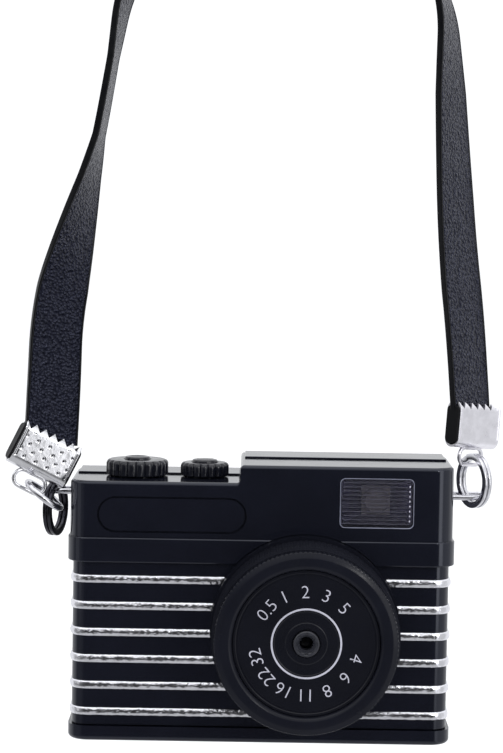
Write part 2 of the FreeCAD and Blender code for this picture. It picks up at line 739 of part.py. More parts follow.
def case_screws():
    screws = []
    for x, z in boss_places():
        shank = rod_back(x, z, 4.6, CASE_DEPTH - 2.4, PILOT_RADIUS)
        head = rod_back(x, z, CASE_DEPTH - 2.4, CASE_DEPTH - 1.2, 1.5)
        slot_wide = box(x - 0.9, x + 0.9, CASE_DEPTH - 1.8, CASE_DEPTH, z - 0.2, z + 0.2)
        slot_tall = box(x - 0.2, x + 0.2, CASE_DEPTH - 1.8, CASE_DEPTH, z - 0.9, z + 0.9)
        screws.append(shank.fuse(head).cut([slot_wide, slot_tall]))
    return Part.makeCompound(screws)


def base_screws():
    screws = []
    for side in (-1, 1):
        x = side * BASE_SCREW_X
        shank = post(x, BASE_SCREW_Y, 0.9, 6.9, 0.6)
        head = post(x, BASE_SCREW_Y, 0.2, 0.9, 1.35)
        slot = box(x - 0.8, x + 0.8, BASE_SCREW_Y - 0.2, BASE_SCREW_Y + 0.2, 0, 0.5)
        screws.append(shank.fuse(head).cut(slot))
    return Part.makeCompound(screws)


def lug(side):
    """A U of wire that stands out of the case's side, on a plate inside the wall."""
    bend = 1.2
    x0 = side * (INNER_X - 0.3)
    x1 = side * (LUG_REACH - bend)
    x2 = side * LUG_REACH
    y0 = LUG_Y
    y1 = LUG_Y + LUG_SPAN
    z = LUG_Z
    share = bend * (1 - math.sqrt(0.5))
    edges = [
        Part.LineSegment(Vector(x0, y0, z), Vector(x1, y0, z)).toShape(),
        Part.Arc(
            Vector(x1, y0, z), Vector(x2 - side * share, y0 + share, z), Vector(x2, y0 + bend, z)
        ).toShape(),
        Part.LineSegment(Vector(x2, y0 + bend, z), Vector(x2, y1 - bend, z)).toShape(),
        Part.Arc(
            Vector(x2, y1 - bend, z), Vector(x2 - side * share, y1 - share, z), Vector(x1, y1, z)
        ).toShape(),
        Part.LineSegment(Vector(x1, y1, z), Vector(x0, y1, z)).toShape(),
    ]
    section = Part.Wire(Part.makeCircle(LUG_WIRE, Vector(x0, y0, z), Vector(1, 0, 0)))
    wire = Part.Wire(edges).makePipeShell([section], True, False)
    inner = INNER_X - 0.8
    low_x = min(side * inner, side * INNER_X)
    half = LUG_PLATE_HALF
    plate = box(low_x, low_x + 0.8, y0 - 1.1, y1 + 1.1, z - half, z + half)
    return wire.fuse(plate)


def split_ring(x, z, turn):
    """Two turns of flat wire, modelled as two rings side by side that share a seam."""
    width = (SPLIT_WIDTH - SPLIT_GAP) / 2
    rings = []
    for start in (-SPLIT_WIDTH / 2, SPLIT_GAP / 2):
        ring = Part.makeCylinder(SPLIT_OUTER, width, Vector(start, 0, 0), Vector(1, 0, 0))
        bore = Part.makeCylinder(
            SPLIT_OUTER - SPLIT_RADIAL, width + 1, Vector(start - 0.5, 0, 0), Vector(1, 0, 0)
        )
        ring = ring.cut(bore)
        rings.append(ring.makeFillet(0.18, ring.Edges))
    seam_top = SPLIT_OUTER - 0.3
    seam = Part.makeBox(0.2, 1.6, 0.5, Vector(-0.1, -0.8, seam_top - 0.5))
    both = rings[0].fuse([rings[1], seam])
    both.Placement = Placement(Vector(x, LUG_Y, z), Rotation(UP, turn))
    return both


def split_bore():
    return SPLIT_OUTER - SPLIT_RADIAL


def split_ring_right():
    """It carries the lug's front leg on its lowest point."""
    z = LUG_Z - LUG_WIRE - SPLIT_CLEARANCE + split_bore()
    return split_ring(SPLIT_RIGHT_X, z, SPLIT_RIGHT_TURN)


def split_ring_left():
    """It hangs down from the lug's front leg."""
    z = LUG_Z + LUG_WIRE + SPLIT_CLEARANCE - split_bore()
    return split_ring(SPLIT_LEFT_X, z, SPLIT_LEFT_TURN)


JUMP_CENTRE = Vector(-32.0, LUG_Y - 4.1, 35.6)
JUMP_ALONG = Vector(-0.79, 0, 0.61)


def jump_ring():
    """A round ring between the left clamp's loop and the front of the left split ring."""
    normal = JUMP_ALONG.cross(Vector(0, 1, 0))
    return Part.makeTorus(JUMP_RADIUS, JUMP_WIRE, JUMP_CENTRE, normal)


def clamp_frame(turn, lean, ring, ring_in_loop):
    """Placement of a clamp: local X across it, local Z up it, local Y to its back."""
    rotation = Rotation(UP, turn).multiply(Rotation(Vector(0, 1, 0), lean))
    across, up = ring_in_loop
    return Placement(ring - rotation.multVec(Vector(across, 0, up)), rotation)


def wire_loop():
    """The clamp's long loop: two straight runs across the clamp and two half circles."""
    run = LOOP_HALF_RUN
    radius = LOOP_RADIUS
    edges = [
        Part.LineSegment(Vector(-run, 0, -radius), Vector(run, 0, -radius)).toShape(),
        Part.Arc(
            Vector(run, 0, -radius), Vector(run + radius, 0, 0), Vector(run, 0, radius)
        ).toShape(),
        Part.LineSegment(Vector(run, 0, radius), Vector(-run, 0, radius)).toShape(),
        Part.Arc(
            Vector(-run, 0, radius), Vector(-run - radius, 0, 0), Vector(-run, 0, -radius)
        ).toShape(),
    ]
    section = Part.Wire(Part.makeCircle(LOOP_WIRE, Vector(-run, 0, -radius), Vector(1, 0, 0)))
    return Part.Wire(edges).makePipeShell([section], True, False)


def clamp(frame):
    """A folded sheet with toothed jaws on the strap and a wire loop under the fold."""
    half = STRAP_THICKNESS / 2 + CLAMP_SHEET
    bottom = LOOP_DROP
    top = bottom + CLAMP_HEIGHT
    left = -CLAMP_WIDTH / 2

    def fold(radius):
        centre = bottom + half
        profile = Part.Wire([
            Part.LineSegment(Vector(left, -radius, top), Vector(left, -radius, centre)).toShape(),
            Part.Arc(
                Vector(left, -radius, centre),
                Vector(left, 0, centre - radius),
                Vector(left, radius, centre),
            ).toShape(),
            Part.LineSegment(Vector(left, radius, centre), Vector(left, radius, top)).toShape(),
            Part.LineSegment(Vector(left, radius, top), Vector(left, -radius, top)).toShape(),
        ])
        return Part.Face(profile).extrude(Vector(CLAMP_WIDTH, 0, 0))

    sheet = fold(half).cut(fold(half - CLAMP_SHEET))
    pitch = CLAMP_WIDTH / CLAMP_TEETH
    notches = []
    for notch in range(CLAMP_TEETH):
        x = left + (notch + 0.5) * pitch
        points = [
            Vector(x - pitch * 0.42, -2, top + 0.01),
            Vector(x, -2, top - CLAMP_NOTCH),
            Vector(x + pitch * 0.42, -2, top + 0.01),
            Vector(x - pitch * 0.42, -2, top + 0.01),
        ]
        notches.append(Part.Face(Part.makePolygon(points)).extrude(Vector(0, 4, 0)))
    loop = wire_loop().cut(fold(half - CLAMP_SHEET))
    whole = sheet.cut(notches).fuse(loop)
    whole.Placement = frame
    return whole


def left_clamp_frame():
    """Its loop hangs on the top of the jump ring."""
    end = JUMP_CENTRE + JUMP_ALONG * JUMP_RADIUS
    return clamp_frame(LEFT_TURN, LEFT_LEAN, end, LEFT_RING_IN_LOOP)


def right_clamp_frame():
    """Its loop holds the top of the right split ring."""
    top = LUG_Z - LUG_WIRE - SPLIT_CLEARANCE + 2 * split_bore() + SPLIT_RADIAL / 2
    ring_top = Vector(SPLIT_RIGHT_X, LUG_Y, top)
    return clamp_frame(RIGHT_TURN, RIGHT_LEAN, ring_top, RIGHT_RING_IN_LOOP)


def route_path():
    """Straight runs joined by tangent arcs. Returns the edges and the arcs' radii."""
    points = [Vector(x, LUG_Y + behind, z) for x, behind, z in STRAP_ROUTE]
    runs = [points[i + 1] - points[i] for i in range(len(points) - 1)]
    edges = []
    radii = []
    start = points[0]
    for i in range(1, len(points) - 1):
        before = Vector(runs[i - 1]).normalize()
        after = Vector(runs[i]).normalize()
        turn = before.getAngle(after)
        reach = ARC_SHARE * min(runs[i - 1].Length, runs[i].Length)
        radius = reach / math.tan(turn / 2)
        first = points[i] - before * reach
        last = points[i] + after * reach
        inward = (after - before).normalize()
        middle = points[i] + inward * (radius / math.cos(turn / 2) - radius)
        edges.append(Part.LineSegment(start, first).toShape())
        edges.append(Part.Arc(first, middle, last).toShape())
        radii.append(radius)
        start = last
    edges.append(Part.LineSegment(start, points[-1]).toShape())
    return Part.Wire(edges), radii


def turn_at(share):
    """The strap's turn about its own line at a share of its length, in degrees."""
    for (s0, a0), (s1, a1) in zip(STRAP_TURNS, STRAP_TURNS[1:]):
        if share <= s1:
            return a0 + (a1 - a0) * (share - s0) / (s1 - s0)
    return STRAP_TURNS[-1][1]


def strap_section(point, tangent, turn):
    angle = math.radians(turn)
    across = Vector(math.cos(angle), math.sin(angle), 0)
    across = (across - tangent * across.dot(tangent)).normalize() * (STRAP_WIDTH / 2)
    through = tangent.cross(across).normalize() * (STRAP_THICKNESS / 2)
    corners = [across + through, through - across, Vector() - across - through, across - through]
    corners = [point + corner for corner in corners]
    return Part.makePolygon(corners + [corners[0]])


def neck_strap():
    path, radii = route_path()
    sections = []
    done = 0.0
    for edge in path.Edges:
        first, last = edge.ParameterRange
        steps = max(1, round(edge.Length / SECTION_STEP))
        for step in range(steps + 1):
            if step == 0 and sections:
                continue
            value = first + (last - first) * step / steps
            share = (done + edge.Length * step / steps) / path.Length
            tangent = edge.tangentAt(value)
            sections.append(strap_section(edge.valueAt(value), tangent, turn_at(share)))
        done += edge.Length
    strap = Part.makeLoft(sections, True, True)
    expected = STRAP_WIDTH * STRAP_THICKNESS * path.Length
    print("strap length", round(path.Length, 1), "radii", [round(r, 1) for r in radii])
    print("strap volume over section times length", round(strap.Volume / expected, 4))
    return strap


def move_to_hanger(shape):
    moved = shape.copy()
    moved.translate(Vector() - HANGER)
    return moved


def build():
    stripes = trim_stripes()
    return {
        "front_cover": front_cover(),
        "rear_cover": rear_cover(),
        "base_plate": base_plate(),
        "trim_stripes_left": stripes["left"],
        "trim_stripes_right": stripes["right"],
        "name_plate": name_plate(),
        "flash_window": flash_window(),
        "flash_reflector": flash_reflector(),
        "flash_led": flash_led(),
        "flash_board": flash_board(),
        "lens_barrel": lens_barrel(),
        "lens_lock_ring": lens_lock_ring(),
        "focus_ring": focus_ring(),
        "lens_bezel": lens_bezel(),
        "lens_face_plate": lens_face_plate(),
        "lens_cell": lens_cell(),
        "focus_pin": focus_pin(),
        "front_lens": glass(CELL_BORE - 0.03, -9.3, -8.8, 0.5, 0.01),
        "rear_lens": glass(CELL_BORE - 0.03, -5.7, -4.9, 0.25, 0.45),
        "lens_spacer": lens_spacer(),
        "lens_retainer": lens_retainer(),
        "lens_holder": lens_holder(),
        "ir_filter": ir_filter(),
        "image_sensor": image_sensor(),
        "sensor_board": sensor_board(),
        "sensor_cable": sensor_cable(),
        "mode_dial": dial(MODE_X, MODE_RADIUS, MODE_TOP, MODE_HUB, MODE_FLUTES),
        "mode_dial_clip": dial_clip(MODE_X, MODE_HUB),
        "shutter_button": dial_button(MODE_X, MODE_TOP),
        "shutter_spring": button_spring(MODE_X),
        "select_dial": dial(SELECT_X, SELECT_RADIUS, SELECT_TOP, SELECT_HUB, SELECT_FLUTES),
        "select_dial_clip": dial_clip(SELECT_X, SELECT_HUB),
        "power_button": dial_button(SELECT_X, SELECT_TOP),
        "power_spring": button_spring(SELECT_X),
        "switch_board": switch_board(),
        "tact_switches": tact_switches(),
        "main_board": main_board(),
        "processor": processor(),
        "memory_chip": memory_chip(),
        "crystal": crystal(),
        "battery": battery(),
        "battery_pad": battery_pad(),
        "card_socket": card_socket(),
        "memory_card": memory_card(),
        "usb_socket": usb_socket(),
        "microphone": microphone(),
        "status_led": status_led(),
        "status_light_pipe": status_light_pipe(),
        "case_screws": case_screws(),
        "base_screws": base_screws(),
        "lug_left": lug(-1),
        "lug_right": lug(1),
        "split_ring_left": split_ring_left(),
        "split_ring_right": split_ring_right(),
        "jump_ring": jump_ring(),
        "strap_clamp_left": clamp(left_clamp_frame()),
        "strap_clamp_right": clamp(right_clamp_frame()),
        "neck_strap": neck_strap(),
    }


os.makedirs("parts", exist_ok=True)
for node, shape in build().items():
    move_to_hanger(shape).exportStep("parts/" + node + ".step")
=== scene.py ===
import json
import math

import bpy
from mathutils import Matrix, Vector, noise


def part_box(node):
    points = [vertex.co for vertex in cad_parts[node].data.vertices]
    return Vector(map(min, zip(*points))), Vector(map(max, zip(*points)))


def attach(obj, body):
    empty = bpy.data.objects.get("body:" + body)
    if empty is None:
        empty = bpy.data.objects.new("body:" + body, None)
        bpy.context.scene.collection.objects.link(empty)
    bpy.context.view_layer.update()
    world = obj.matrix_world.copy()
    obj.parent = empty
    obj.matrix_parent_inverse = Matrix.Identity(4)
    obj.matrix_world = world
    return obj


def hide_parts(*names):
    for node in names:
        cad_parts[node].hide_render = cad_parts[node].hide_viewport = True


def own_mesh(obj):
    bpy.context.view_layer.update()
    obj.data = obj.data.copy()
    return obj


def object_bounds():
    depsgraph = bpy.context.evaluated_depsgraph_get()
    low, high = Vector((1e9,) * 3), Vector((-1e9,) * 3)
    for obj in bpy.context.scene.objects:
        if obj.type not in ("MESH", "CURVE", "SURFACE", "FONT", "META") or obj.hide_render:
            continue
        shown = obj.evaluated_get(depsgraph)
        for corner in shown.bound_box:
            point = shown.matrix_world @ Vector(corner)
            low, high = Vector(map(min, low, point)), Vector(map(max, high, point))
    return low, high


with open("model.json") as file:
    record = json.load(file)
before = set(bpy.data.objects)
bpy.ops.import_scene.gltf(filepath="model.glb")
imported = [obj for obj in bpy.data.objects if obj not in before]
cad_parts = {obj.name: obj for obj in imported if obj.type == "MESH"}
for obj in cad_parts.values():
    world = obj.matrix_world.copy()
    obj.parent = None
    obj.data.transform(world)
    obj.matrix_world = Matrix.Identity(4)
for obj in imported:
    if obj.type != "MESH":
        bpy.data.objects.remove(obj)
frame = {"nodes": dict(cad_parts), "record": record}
cad_low, cad_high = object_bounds()

# Miniature camera on a neck strap. The case's own frame is in millimetres: X to the right,
# Y from the upper front face to the back, Z up from the underside of the base.
MM = 0.001
PLATE_PROUD = 0.05
plate_low, plate_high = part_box("base_plate")
CASE_ORIGIN = Vector(((plate_low.x + plate_high.x) / 2, plate_low.y + PLATE_PROUD * MM, plate_low.z))


def at(x, y, z):
    """A point of the case's own frame, in the row frame in metres."""
    return CASE_ORIGIN + Vector((x, y, z)) * MM


# ---------------------------------------------------------------- camera

VIEW_PLACE = at(-1.83, -351.07, 79.87)
VIEW_DOWN = math.radians(4.25)
VIEW_ROLL = math.radians(0.91)
LENS_LENGTH = 116.36


def add_camera():
    data = bpy.data.cameras.new("view")
    data.lens = LENS_LENGTH
    data.clip_start = 0.01
    data.clip_end = 20
    camera = bpy.data.objects.new("view", data)
    bpy.context.scene.collection.objects.link(camera)
    forward = Vector((0, math.cos(VIEW_DOWN), -math.sin(VIEW_DOWN)))
    up = Vector((0, math.sin(VIEW_DOWN), math.cos(VIEW_DOWN)))
    side = Vector((1, 0, 0))
    right = side * math.cos(VIEW_ROLL) + up * math.sin(VIEW_ROLL)
    top = up * math.cos(VIEW_ROLL) - side * math.sin(VIEW_ROLL)
    turn = Matrix((right, top, -forward)).transposed()
    camera.matrix_world = Matrix.Translation(VIEW_PLACE) @ turn.to_4x4()
    bpy.context.scene.camera = camera


add_camera()


# ---------------------------------------------------------------- mesh helpers


def add_object(name, data, body, slot, *nodes):
    piece = bpy.data.objects.new(name, data)
    bpy.context.scene.collection.objects.link(piece)
    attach(piece, body)
    if nodes:
        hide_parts(*nodes)
    return piece


def add_mesh(name, points, faces, materials, body, slot, *nodes, face_slots=None):
    mesh = bpy.data.meshes.new(name)
    mesh.from_pydata(points, [], faces)
    for material in materials:
        mesh.materials.append(material)
    if face_slots:
        mesh.polygons.foreach_set("material_index", face_slots)
    mesh.validate()
    mesh.shade_smooth()
    mesh.update()
    return add_object(name, mesh, body, slot, *nodes)


def keep_edges(piece, degrees=35):
    """Smooth shading that keeps sharp edges sharp and flat faces flat."""
    piece.data.set_sharp_from_angle(angle=math.radians(degrees))
    weighted = piece.modifiers.new("even_normals", "WEIGHTED_NORMAL")
    weighted.keep_sharp = True
    return piece


def rounded_line(points, radius, steps=3, closed=False):
    """A 2-D line with its corners rounded. A corner's own radius may follow its two numbers."""
    line = []
    count = len(points)
    for i, corner in enumerate(points):
        here = Vector(corner[:2])
        if not closed and i in (0, count - 1):
            line.append(here)
            continue
        before = Vector(points[i - 1][:2]) - here
        after = Vector(points[(i + 1) % count][:2]) - here
        wanted = corner[2] if len(corner) > 2 else radius
        half = before.angle(after) / 2
        if wanted <= 0 or half > math.radians(88):
            line.append(here)
            continue
        reach = min(wanted / math.tan(half), 0.45 * before.length, 0.45 * after.length)
        true_radius = reach * math.tan(half)
        centre = here + (before.normalized() + after.normalized()).normalized() * (
            true_radius / math.sin(half)
        )
        first = here + before.normalized() * reach - centre
        last = here + after.normalized() * reach - centre
        turn = first.angle_signed(last)
        for step in range(steps + 1):
            angle = -turn * step / steps
            spoke = Matrix.Rotation(angle, 2) @ first
            line.append(centre + spoke)
    return line


def grid_faces(rows, columns, close_rows, close_columns, start=0):
    faces = []
    for i in range(rows if close_rows else rows - 1):
        for j in range(columns if close_columns else columns - 1):
            a = i * columns + j
            b = i * columns + (j + 1) % columns
            c = (i + 1) % rows * columns + (j + 1) % columns
            d = (i + 1) % rows * columns + j
            faces.append((start + a, start + b, start + c, start + d))
    return faces


def lathe(name, profile, centre, along, segments, materials, body, slot, *nodes, relief=None):
    """A closed profile of (radius, height) turned about an axis through centre, in millimetres.

    along is the axis, "y" for the lens and "z" for the dials. relief(angle, radius, height)
    gives how far a point is pushed out.
    """
    points = []
    for radius, height in profile:
        for step in range(segments):
            angle = 2 * math.pi * step / segments
            r = radius + (relief(angle, radius, height) if relief else 0)
            c = r * math.cos(angle)
            s = r * math.sin(angle)
            if along == "y":
                points.append(at(centre[0] + c, height, centre[1] - s))
            else:
                points.append(at(centre[0] + c, centre[1] + s, height))
    faces = grid_faces(len(profile), segments, True, True)
    faces = [tuple(reversed(face)) for face in faces]
    return add_mesh(name, points, faces, materials, body, slot, *nodes)


def sweep_frames(points, closed):
    """Tangents and sideways directions along a line, turned as little as possible."""
    count = len(points)
    tangents = []
    for i in range(count):
        before = points[i - 1] if closed or i > 0 else points[0]
        after = points[(i + 1) % count] if closed or i < count - 1 else points[-1]
        tangents.append((after - before).normalized())
    side = tangents[0].orthogonal().normalized()
    sides = []
    for tangent in tangents:
        side = (side - tangent * side.dot(tangent)).normalized()
        sides.append(side)
    return tangents, sides


def tube_mesh(points, radius, closed=False, segments=16):
    """Points and faces of a round wire along a line in metres, with flat ends."""
    tangents, sides = sweep_frames(points, closed)
    ring_points = []
    for point, tangent, across in zip(points, tangents, sides):
        up = tangent.cross(across)
        for step in range(segments):
            angle = 2 * math.pi * step / segments
            spoke = across * math.cos(angle) + up * math.sin(angle)
            ring_points.append(point + spoke * radius)
    faces = grid_faces(len(points), segments, closed, True)
    if not closed:
        faces.append(tuple(reversed(range(segments))))
        faces.append(tuple(range(len(ring_points) - segments, len(ring_points))))
    return ring_points, faces


def joined(*parts):
    """Several (points, faces) pairs as one."""
    points = []
    faces = []
    for some_points, some_faces in parts:
        start = len(points)
        points += some_points
        faces += [tuple(start + i for i in face) for face in some_faces]
    return points, faces


# ---------------------------------------------------------------- materials


class Surface:
    """A Principled material and short ways to drive it from procedural textures."""

    def __init__(self, name, colour, roughness, **sockets):
        self.material = bpy.data.materials.new(name)
        self.material.use_nodes = True
        self.nodes = self.material.node_tree.nodes
        self.shader = self.nodes["Principled BSDF"]
        self.shader.inputs["Base Color"].default_value = (*colour, 1)
        self.shader.inputs["Roughness"].default_value = roughness
        for socket, value in sockets.items():
            self.shader.inputs[socket.replace("_", " ").title().replace("Ior", "IOR")].default_value = value
        self.place = self.nodes.new("ShaderNodeTexCoord").outputs["Object"]

    def link(self, output, target):
        self.material.node_tree.links.new(output, target)

    def stretched(self, across):
        """The place, with each axis scaled, for brushed or drawn grain."""
        mapping = self.nodes.new("ShaderNodeMapping")
        mapping.inputs["Scale"].default_value = across
        self.link(self.place, mapping.inputs["Vector"])
        return mapping.outputs["Vector"]

    def noise(self, size_mm, detail=3.0, rough=0.5, place=None):
        node = self.nodes.new("ShaderNodeTexNoise")
        node.inputs["Scale"].default_value = 1000 / size_mm
        node.inputs["Detail"].default_value = detail
        node.inputs["Roughness"].default_value = rough
        self.link(place or self.place, node.inputs["Vector"])
        return node.outputs["Fac"]

    def cells(self, size_mm, smooth):
        node = self.nodes.new("ShaderNodeTexVoronoi")
        node.feature = "SMOOTH_F1"
        node.inputs["Scale"].default_value = 1000 / size_mm
        node.inputs["Smoothness"].default_value = smooth
        self.link(self.place, node.inputs["Vector"])
        return node.outputs["Distance"]

    def ramp(self, value, stops):
        """stops are (position, colour) pairs, or (position, number) pairs."""
        node = self.nodes.new("ShaderNodeValToRGB")
        elements = node.color_ramp.elements
        while len(elements) < len(stops):
            elements.new(0.5)
        for element, (position, colour) in zip(elements, stops):
            element.position = position
            element.color = (*colour, 1) if hasattr(colour, "__len__") else (colour, colour, colour, 1)
        self.link(value, node.inputs["Fac"])
        return node.outputs["Color"]

    def math(self, operation, a, b):
        node = self.nodes.new("ShaderNodeMath")
        node.operation = operation
        for socket, value in zip(node.inputs, (a, b)):
            if isinstance(value, (int, float)):
                socket.default_value = value
            else:
                self.link(value, socket)
        return node.outputs[0]

    def colour(self, value, stops):
        self.link(self.ramp(value, stops), self.shader.inputs["Base Color"])

    def roughness(self, value, low, high, low_at=0.3, high_at=0.7):
        self.link(self.ramp(value, [(low_at, low), (high_at, high)]), self.shader.inputs["Roughness"])

    def bump(self, height, depth_mm):
        node = self.nodes.new("ShaderNodeBump")
        node.inputs["Strength"].default_value = 1.0
        node.inputs["Distance"].default_value = depth_mm * MM
        self.link(height, node.inputs["Height"])
        found = self.shader.inputs["Normal"].links
        if found:
            self.link(found[0].from_socket, node.inputs["Normal"])
        self.link(node.outputs["Normal"], self.shader.inputs["Normal"])


def mixed(colour, share):
    return tuple(min(1.0, c * share) for c in colour)


def plastic(name, colour, low, high, grain=0.0, grain_size=0.12, wear=1.25, **sockets):
    """Moulded plastic: faint clouding, patches that are more rubbed, and a fine moulded grain."""
    surface = Surface(name, colour, low, **sockets)
    clouds = surface.noise(7.0, detail=4)
    surface.colour(clouds, [(0.35, colour), (0.72, mixed(colour, wear))])
    smears = surface.noise(2.6, detail=6, rough=0.62)
    surface.roughness(smears, low, high, 0.38, 0.66)
    if grain:
        surface.bump(surface.noise(grain_size, detail=2), grain)
    surface.bump(surface.noise(9.0, detail=1), 0.003)
    return surface.material


def metal(name, colour, low, high, dents=0.0, dent_size=1.0):
    surface = Surface(name, colour, low, metallic=1.0)
    patches = surface.noise(1.6, detail=5, rough=0.6)
    surface.colour(patches, [(0.3, mixed(colour, 0.86)), (0.6, colour)])
    surface.roughness(patches, low, high)
    scratches = surface.noise(0.18, detail=3, place=surface.stretched((1.0, 1.0, 0.12)))
    surface.bump(scratches, 0.0022)
    if dents:
        surface.bump(surface.noise(dent_size, detail=2), dents)
    return surface.material


def clear(name, colour, roughness, solid=0.0, **sockets):
    surface = Surface(name, colour, roughness, transmission_weight=1.0 - solid, **sockets)
    surface.roughness(surface.noise(2.0, detail=5), roughness, roughness + 0.05)
    surface.bump(surface.noise(3.0, detail=2), 0.004)
    return surface.material


COOL_GLOSS = (0.66, 0.70, 1.0, 1.0)
FAINT_COOL_GLOSS = (0.84, 0.88, 1.0, 1.0)


def leather(name, colour):
    """Pebbled leather: rounded cells with creases between them, brighter where they are rubbed."""
    surface = Surface(name, colour, 0.3)
    surface.shader.inputs["Specular Tint"].default_value = COOL_GLOSS
    clouds = surface.noise(1.2, detail=2)
    pebbles = surface.cells(0.4, smooth=0.3)
    fine = surface.cells(0.22, smooth=0.2)
    surface.colour(clouds, [(0.3, colour), (0.75, mixed(colour, 1.5))])
    surface.roughness(pebbles, 0.12, 0.34, 0.15, 0.6)
    gloss = surface.ramp(pebbles, [(0.1, 0.8), (0.75, 0.2)])
    surface.link(gloss, surface.shader.inputs["Specular IOR Level"])
    surface.bump(surface.math("SUBTRACT", 1.0, pebbles), 0.42)
    surface.bump(surface.math("SUBTRACT", 1.0, fine), 0.05)
    return surface.material


def circuit_board(name, colour, copper):
    """Solder mask over raised tracks."""
    surface = Surface(name, colour, 0.35)
    tracks = surface.nodes.new("ShaderNodeTexBrick")
    tracks.inputs["Scale"].default_value = 420
    tracks.inputs["Mortar Size"].default_value = 0.035
    tracks.inputs["Color1"].default_value = (*colour, 1)
    tracks.inputs["Color2"].default_value = (*mixed(colour, 0.8), 1)
    tracks.inputs["Mortar"].default_value = (*copper, 1)
    surface.link(surface.place, tracks.inputs["Vector"])
    surface.link(tracks.outputs["Color"], surface.shader.inputs["Base Color"])
    surface.bump(tracks.outputs["Fac"], 0.03)
    surface.roughness(surface.noise(2.0), 0.28, 0.42)
    return surface.material


BLACK = (0.0052, 0.0058, 0.0100)
SOFT_BLACK = (0.0058, 0.0064, 0.0105)
NICKEL = (0.70, 0.70, 0.74)
STEEL = (0.58, 0.58, 0.60)

MATERIALS = {
    "case_black": plastic("case_black", BLACK, 0.10, 0.14, grain=0.0006, specular_tint=FAINT_COOL_GLOSS),
    "foil_trim": metal("foil_trim", (0.84, 0.84, 0.89), 0.12, 0.26, dents=0.07, dent_size=0.5),
    "lens_black": plastic("lens_black", SOFT_BLACK, 0.2, 0.28, grain=0.003, specular_ior_level=0.16),
    "face_black": plastic(
        "face_black", (0.0050, 0.0054, 0.0084), 0.14, 0.2, grain=0.0015, specular_ior_level=0.3
    ),
    "cell_black": plastic("cell_black", (0.02, 0.021, 0.027), 0.22, 0.36, grain=0.003),
    "dial_black": plastic("dial_black", BLACK, 0.16, 0.26, grain=0.001),
    "button_black": plastic("button_black", BLACK, 0.12, 0.22),
    "optical_glass": plastic("optical_glass", (0.0015, 0.0016, 0.003), 0.03, 0.05, wear=1.0),
    "filter_glass": clear("filter_glass", (0.80, 0.93, 0.95), 0.0, ior=1.5),
    "window_clear": clear("window_clear", (0.36, 0.355, 0.47), 0.06, ior=1.49, solid=0.03),
    "reflector": metal("reflector", (0.24, 0.23, 0.30), 0.3, 0.44),
    "led_yellow": plastic("led_yellow", (0.90, 0.84, 0.52), 0.30, 0.45, wear=1.1),
    "board_green": circuit_board("board_green", (0.015, 0.13, 0.06), (0.05, 0.22, 0.09)),
    "chip_black": plastic("chip_black", (0.02, 0.02, 0.021), 0.45, 0.6, grain=0.01),
    "flex_amber": plastic("flex_amber", (0.55, 0.27, 0.06), 0.25, 0.4),
    "can_steel": metal("can_steel", STEEL, 0.22, 0.38),
    "spring_steel": metal("spring_steel", STEEL, 0.2, 0.34),
    "screw_steel": metal("screw_steel", (0.10, 0.10, 0.11), 0.28, 0.44),
    "battery_wrap": metal("battery_wrap", (0.52, 0.54, 0.57), 0.32, 0.5, dents=0.05, dent_size=2.5),
    "foam": plastic("foam", (0.03, 0.03, 0.03), 0.8, 0.95, grain=0.06, grain_size=0.3),
    "card_black": plastic("card_black", (0.016, 0.016, 0.018), 0.38, 0.5, grain=0.006),
    "pipe_clear": clear("pipe_clear", (0.75, 0.8, 0.86), 0.15, ior=1.49),
    # Painted shade: a near-black copy of the ring nickel for the left two-turn ring, standing in for the
    # shade it hangs in and the black case it reflects.
    "ring_black": metal("ring_black", (0.05, 0.05, 0.06), 0.16, 0.3),
    "ring_nickel": metal("ring_nickel", NICKEL, 0.10, 0.22),
    "strap_leather": leather("strap_leather", (0.0030, 0.0034, 0.0072)),
}

for subpart in frame["record"]["subparts"]:
    node = frame["nodes"][subpart["node"]]
    node.data.materials.clear()
    node.data.materials.append(MATERIALS[subpart["material_slot"]])


# ---------------------------------------------------------------- neck strap

STRAP_WIDTH = 8.0
STRAP_THICKNESS = 1.04
STRAP_ROUTE = [
    (-0.03406, -0.00224, -0.0822),
    (-0.0337, -0.00172, -0.0736),
    (-0.0334, -0.00157, -0.0626),
    (-0.0306, -0.00137, -0.0501),
    (-0.0278, -0.00117, -0.0386),
    (-0.0257, -0.00092, -0.0263),
    (-0.0238, -0.00067, -0.014),
    (-0.0167, -0.00037, -0.0044),
    (-0.006, -0.00012, 0.0008),
    (0.006, 0.00013, 0.0003),
    (0.0164, 0.00038, -0.0055),
    (0.023, 0.00048, -0.0155),
    (0.0237, 0.00053, -0.0281),
    (0.02445, 0.00043, -0.0406),
    (0.0254, 0.00018, -0.0536),
    (0.0269, -0.00072, -0.0666),
    (0.0279, 0.00023, -0.0795),
]
# How far the strap is turned from facing front, in degrees, at shares of its length.
STRAP_TURNS = [
    (0.0, 20.0),
    (0.04, 20.0),
    (0.12, 28.0),
    (0.168, 54.0),
    (0.208, 74.0),
    (0.24, 86.0),
    (0.30, 87.0),
    (0.35, 79.0),
    (0.42, 90.0),
    (0.58, 90.0),
    (0.66, 76.0),
    (0.74, 57.5),
    (0.82, 49.0),
    (0.89, 44.0),
    (0.95, 45.0),
    (1.0, 45.0),
]


def route_points(resolution):
    """Points along the smooth line that the route's points control."""
    data = bpy.data.curves.new("route", "CURVE")
    data.dimensions = "3D"
    data.resolution_u = resolution
    spline = data.splines.new("NURBS")
    spline.points.add(len(STRAP_ROUTE) - 1)
    for point, place in zip(spline.points, STRAP_ROUTE):
        point.co = (*place, 1)
    spline.order_u = 3
    spline.use_endpoint_u = True
    bare = bpy.data.objects.new("route", data)
    mesh = bpy.data.meshes.new_from_object(bare)
    points = [vertex.co.copy() for vertex in mesh.vertices]
    bpy.data.meshes.remove(mesh)
    bpy.data.curves.remove(data)
    return points


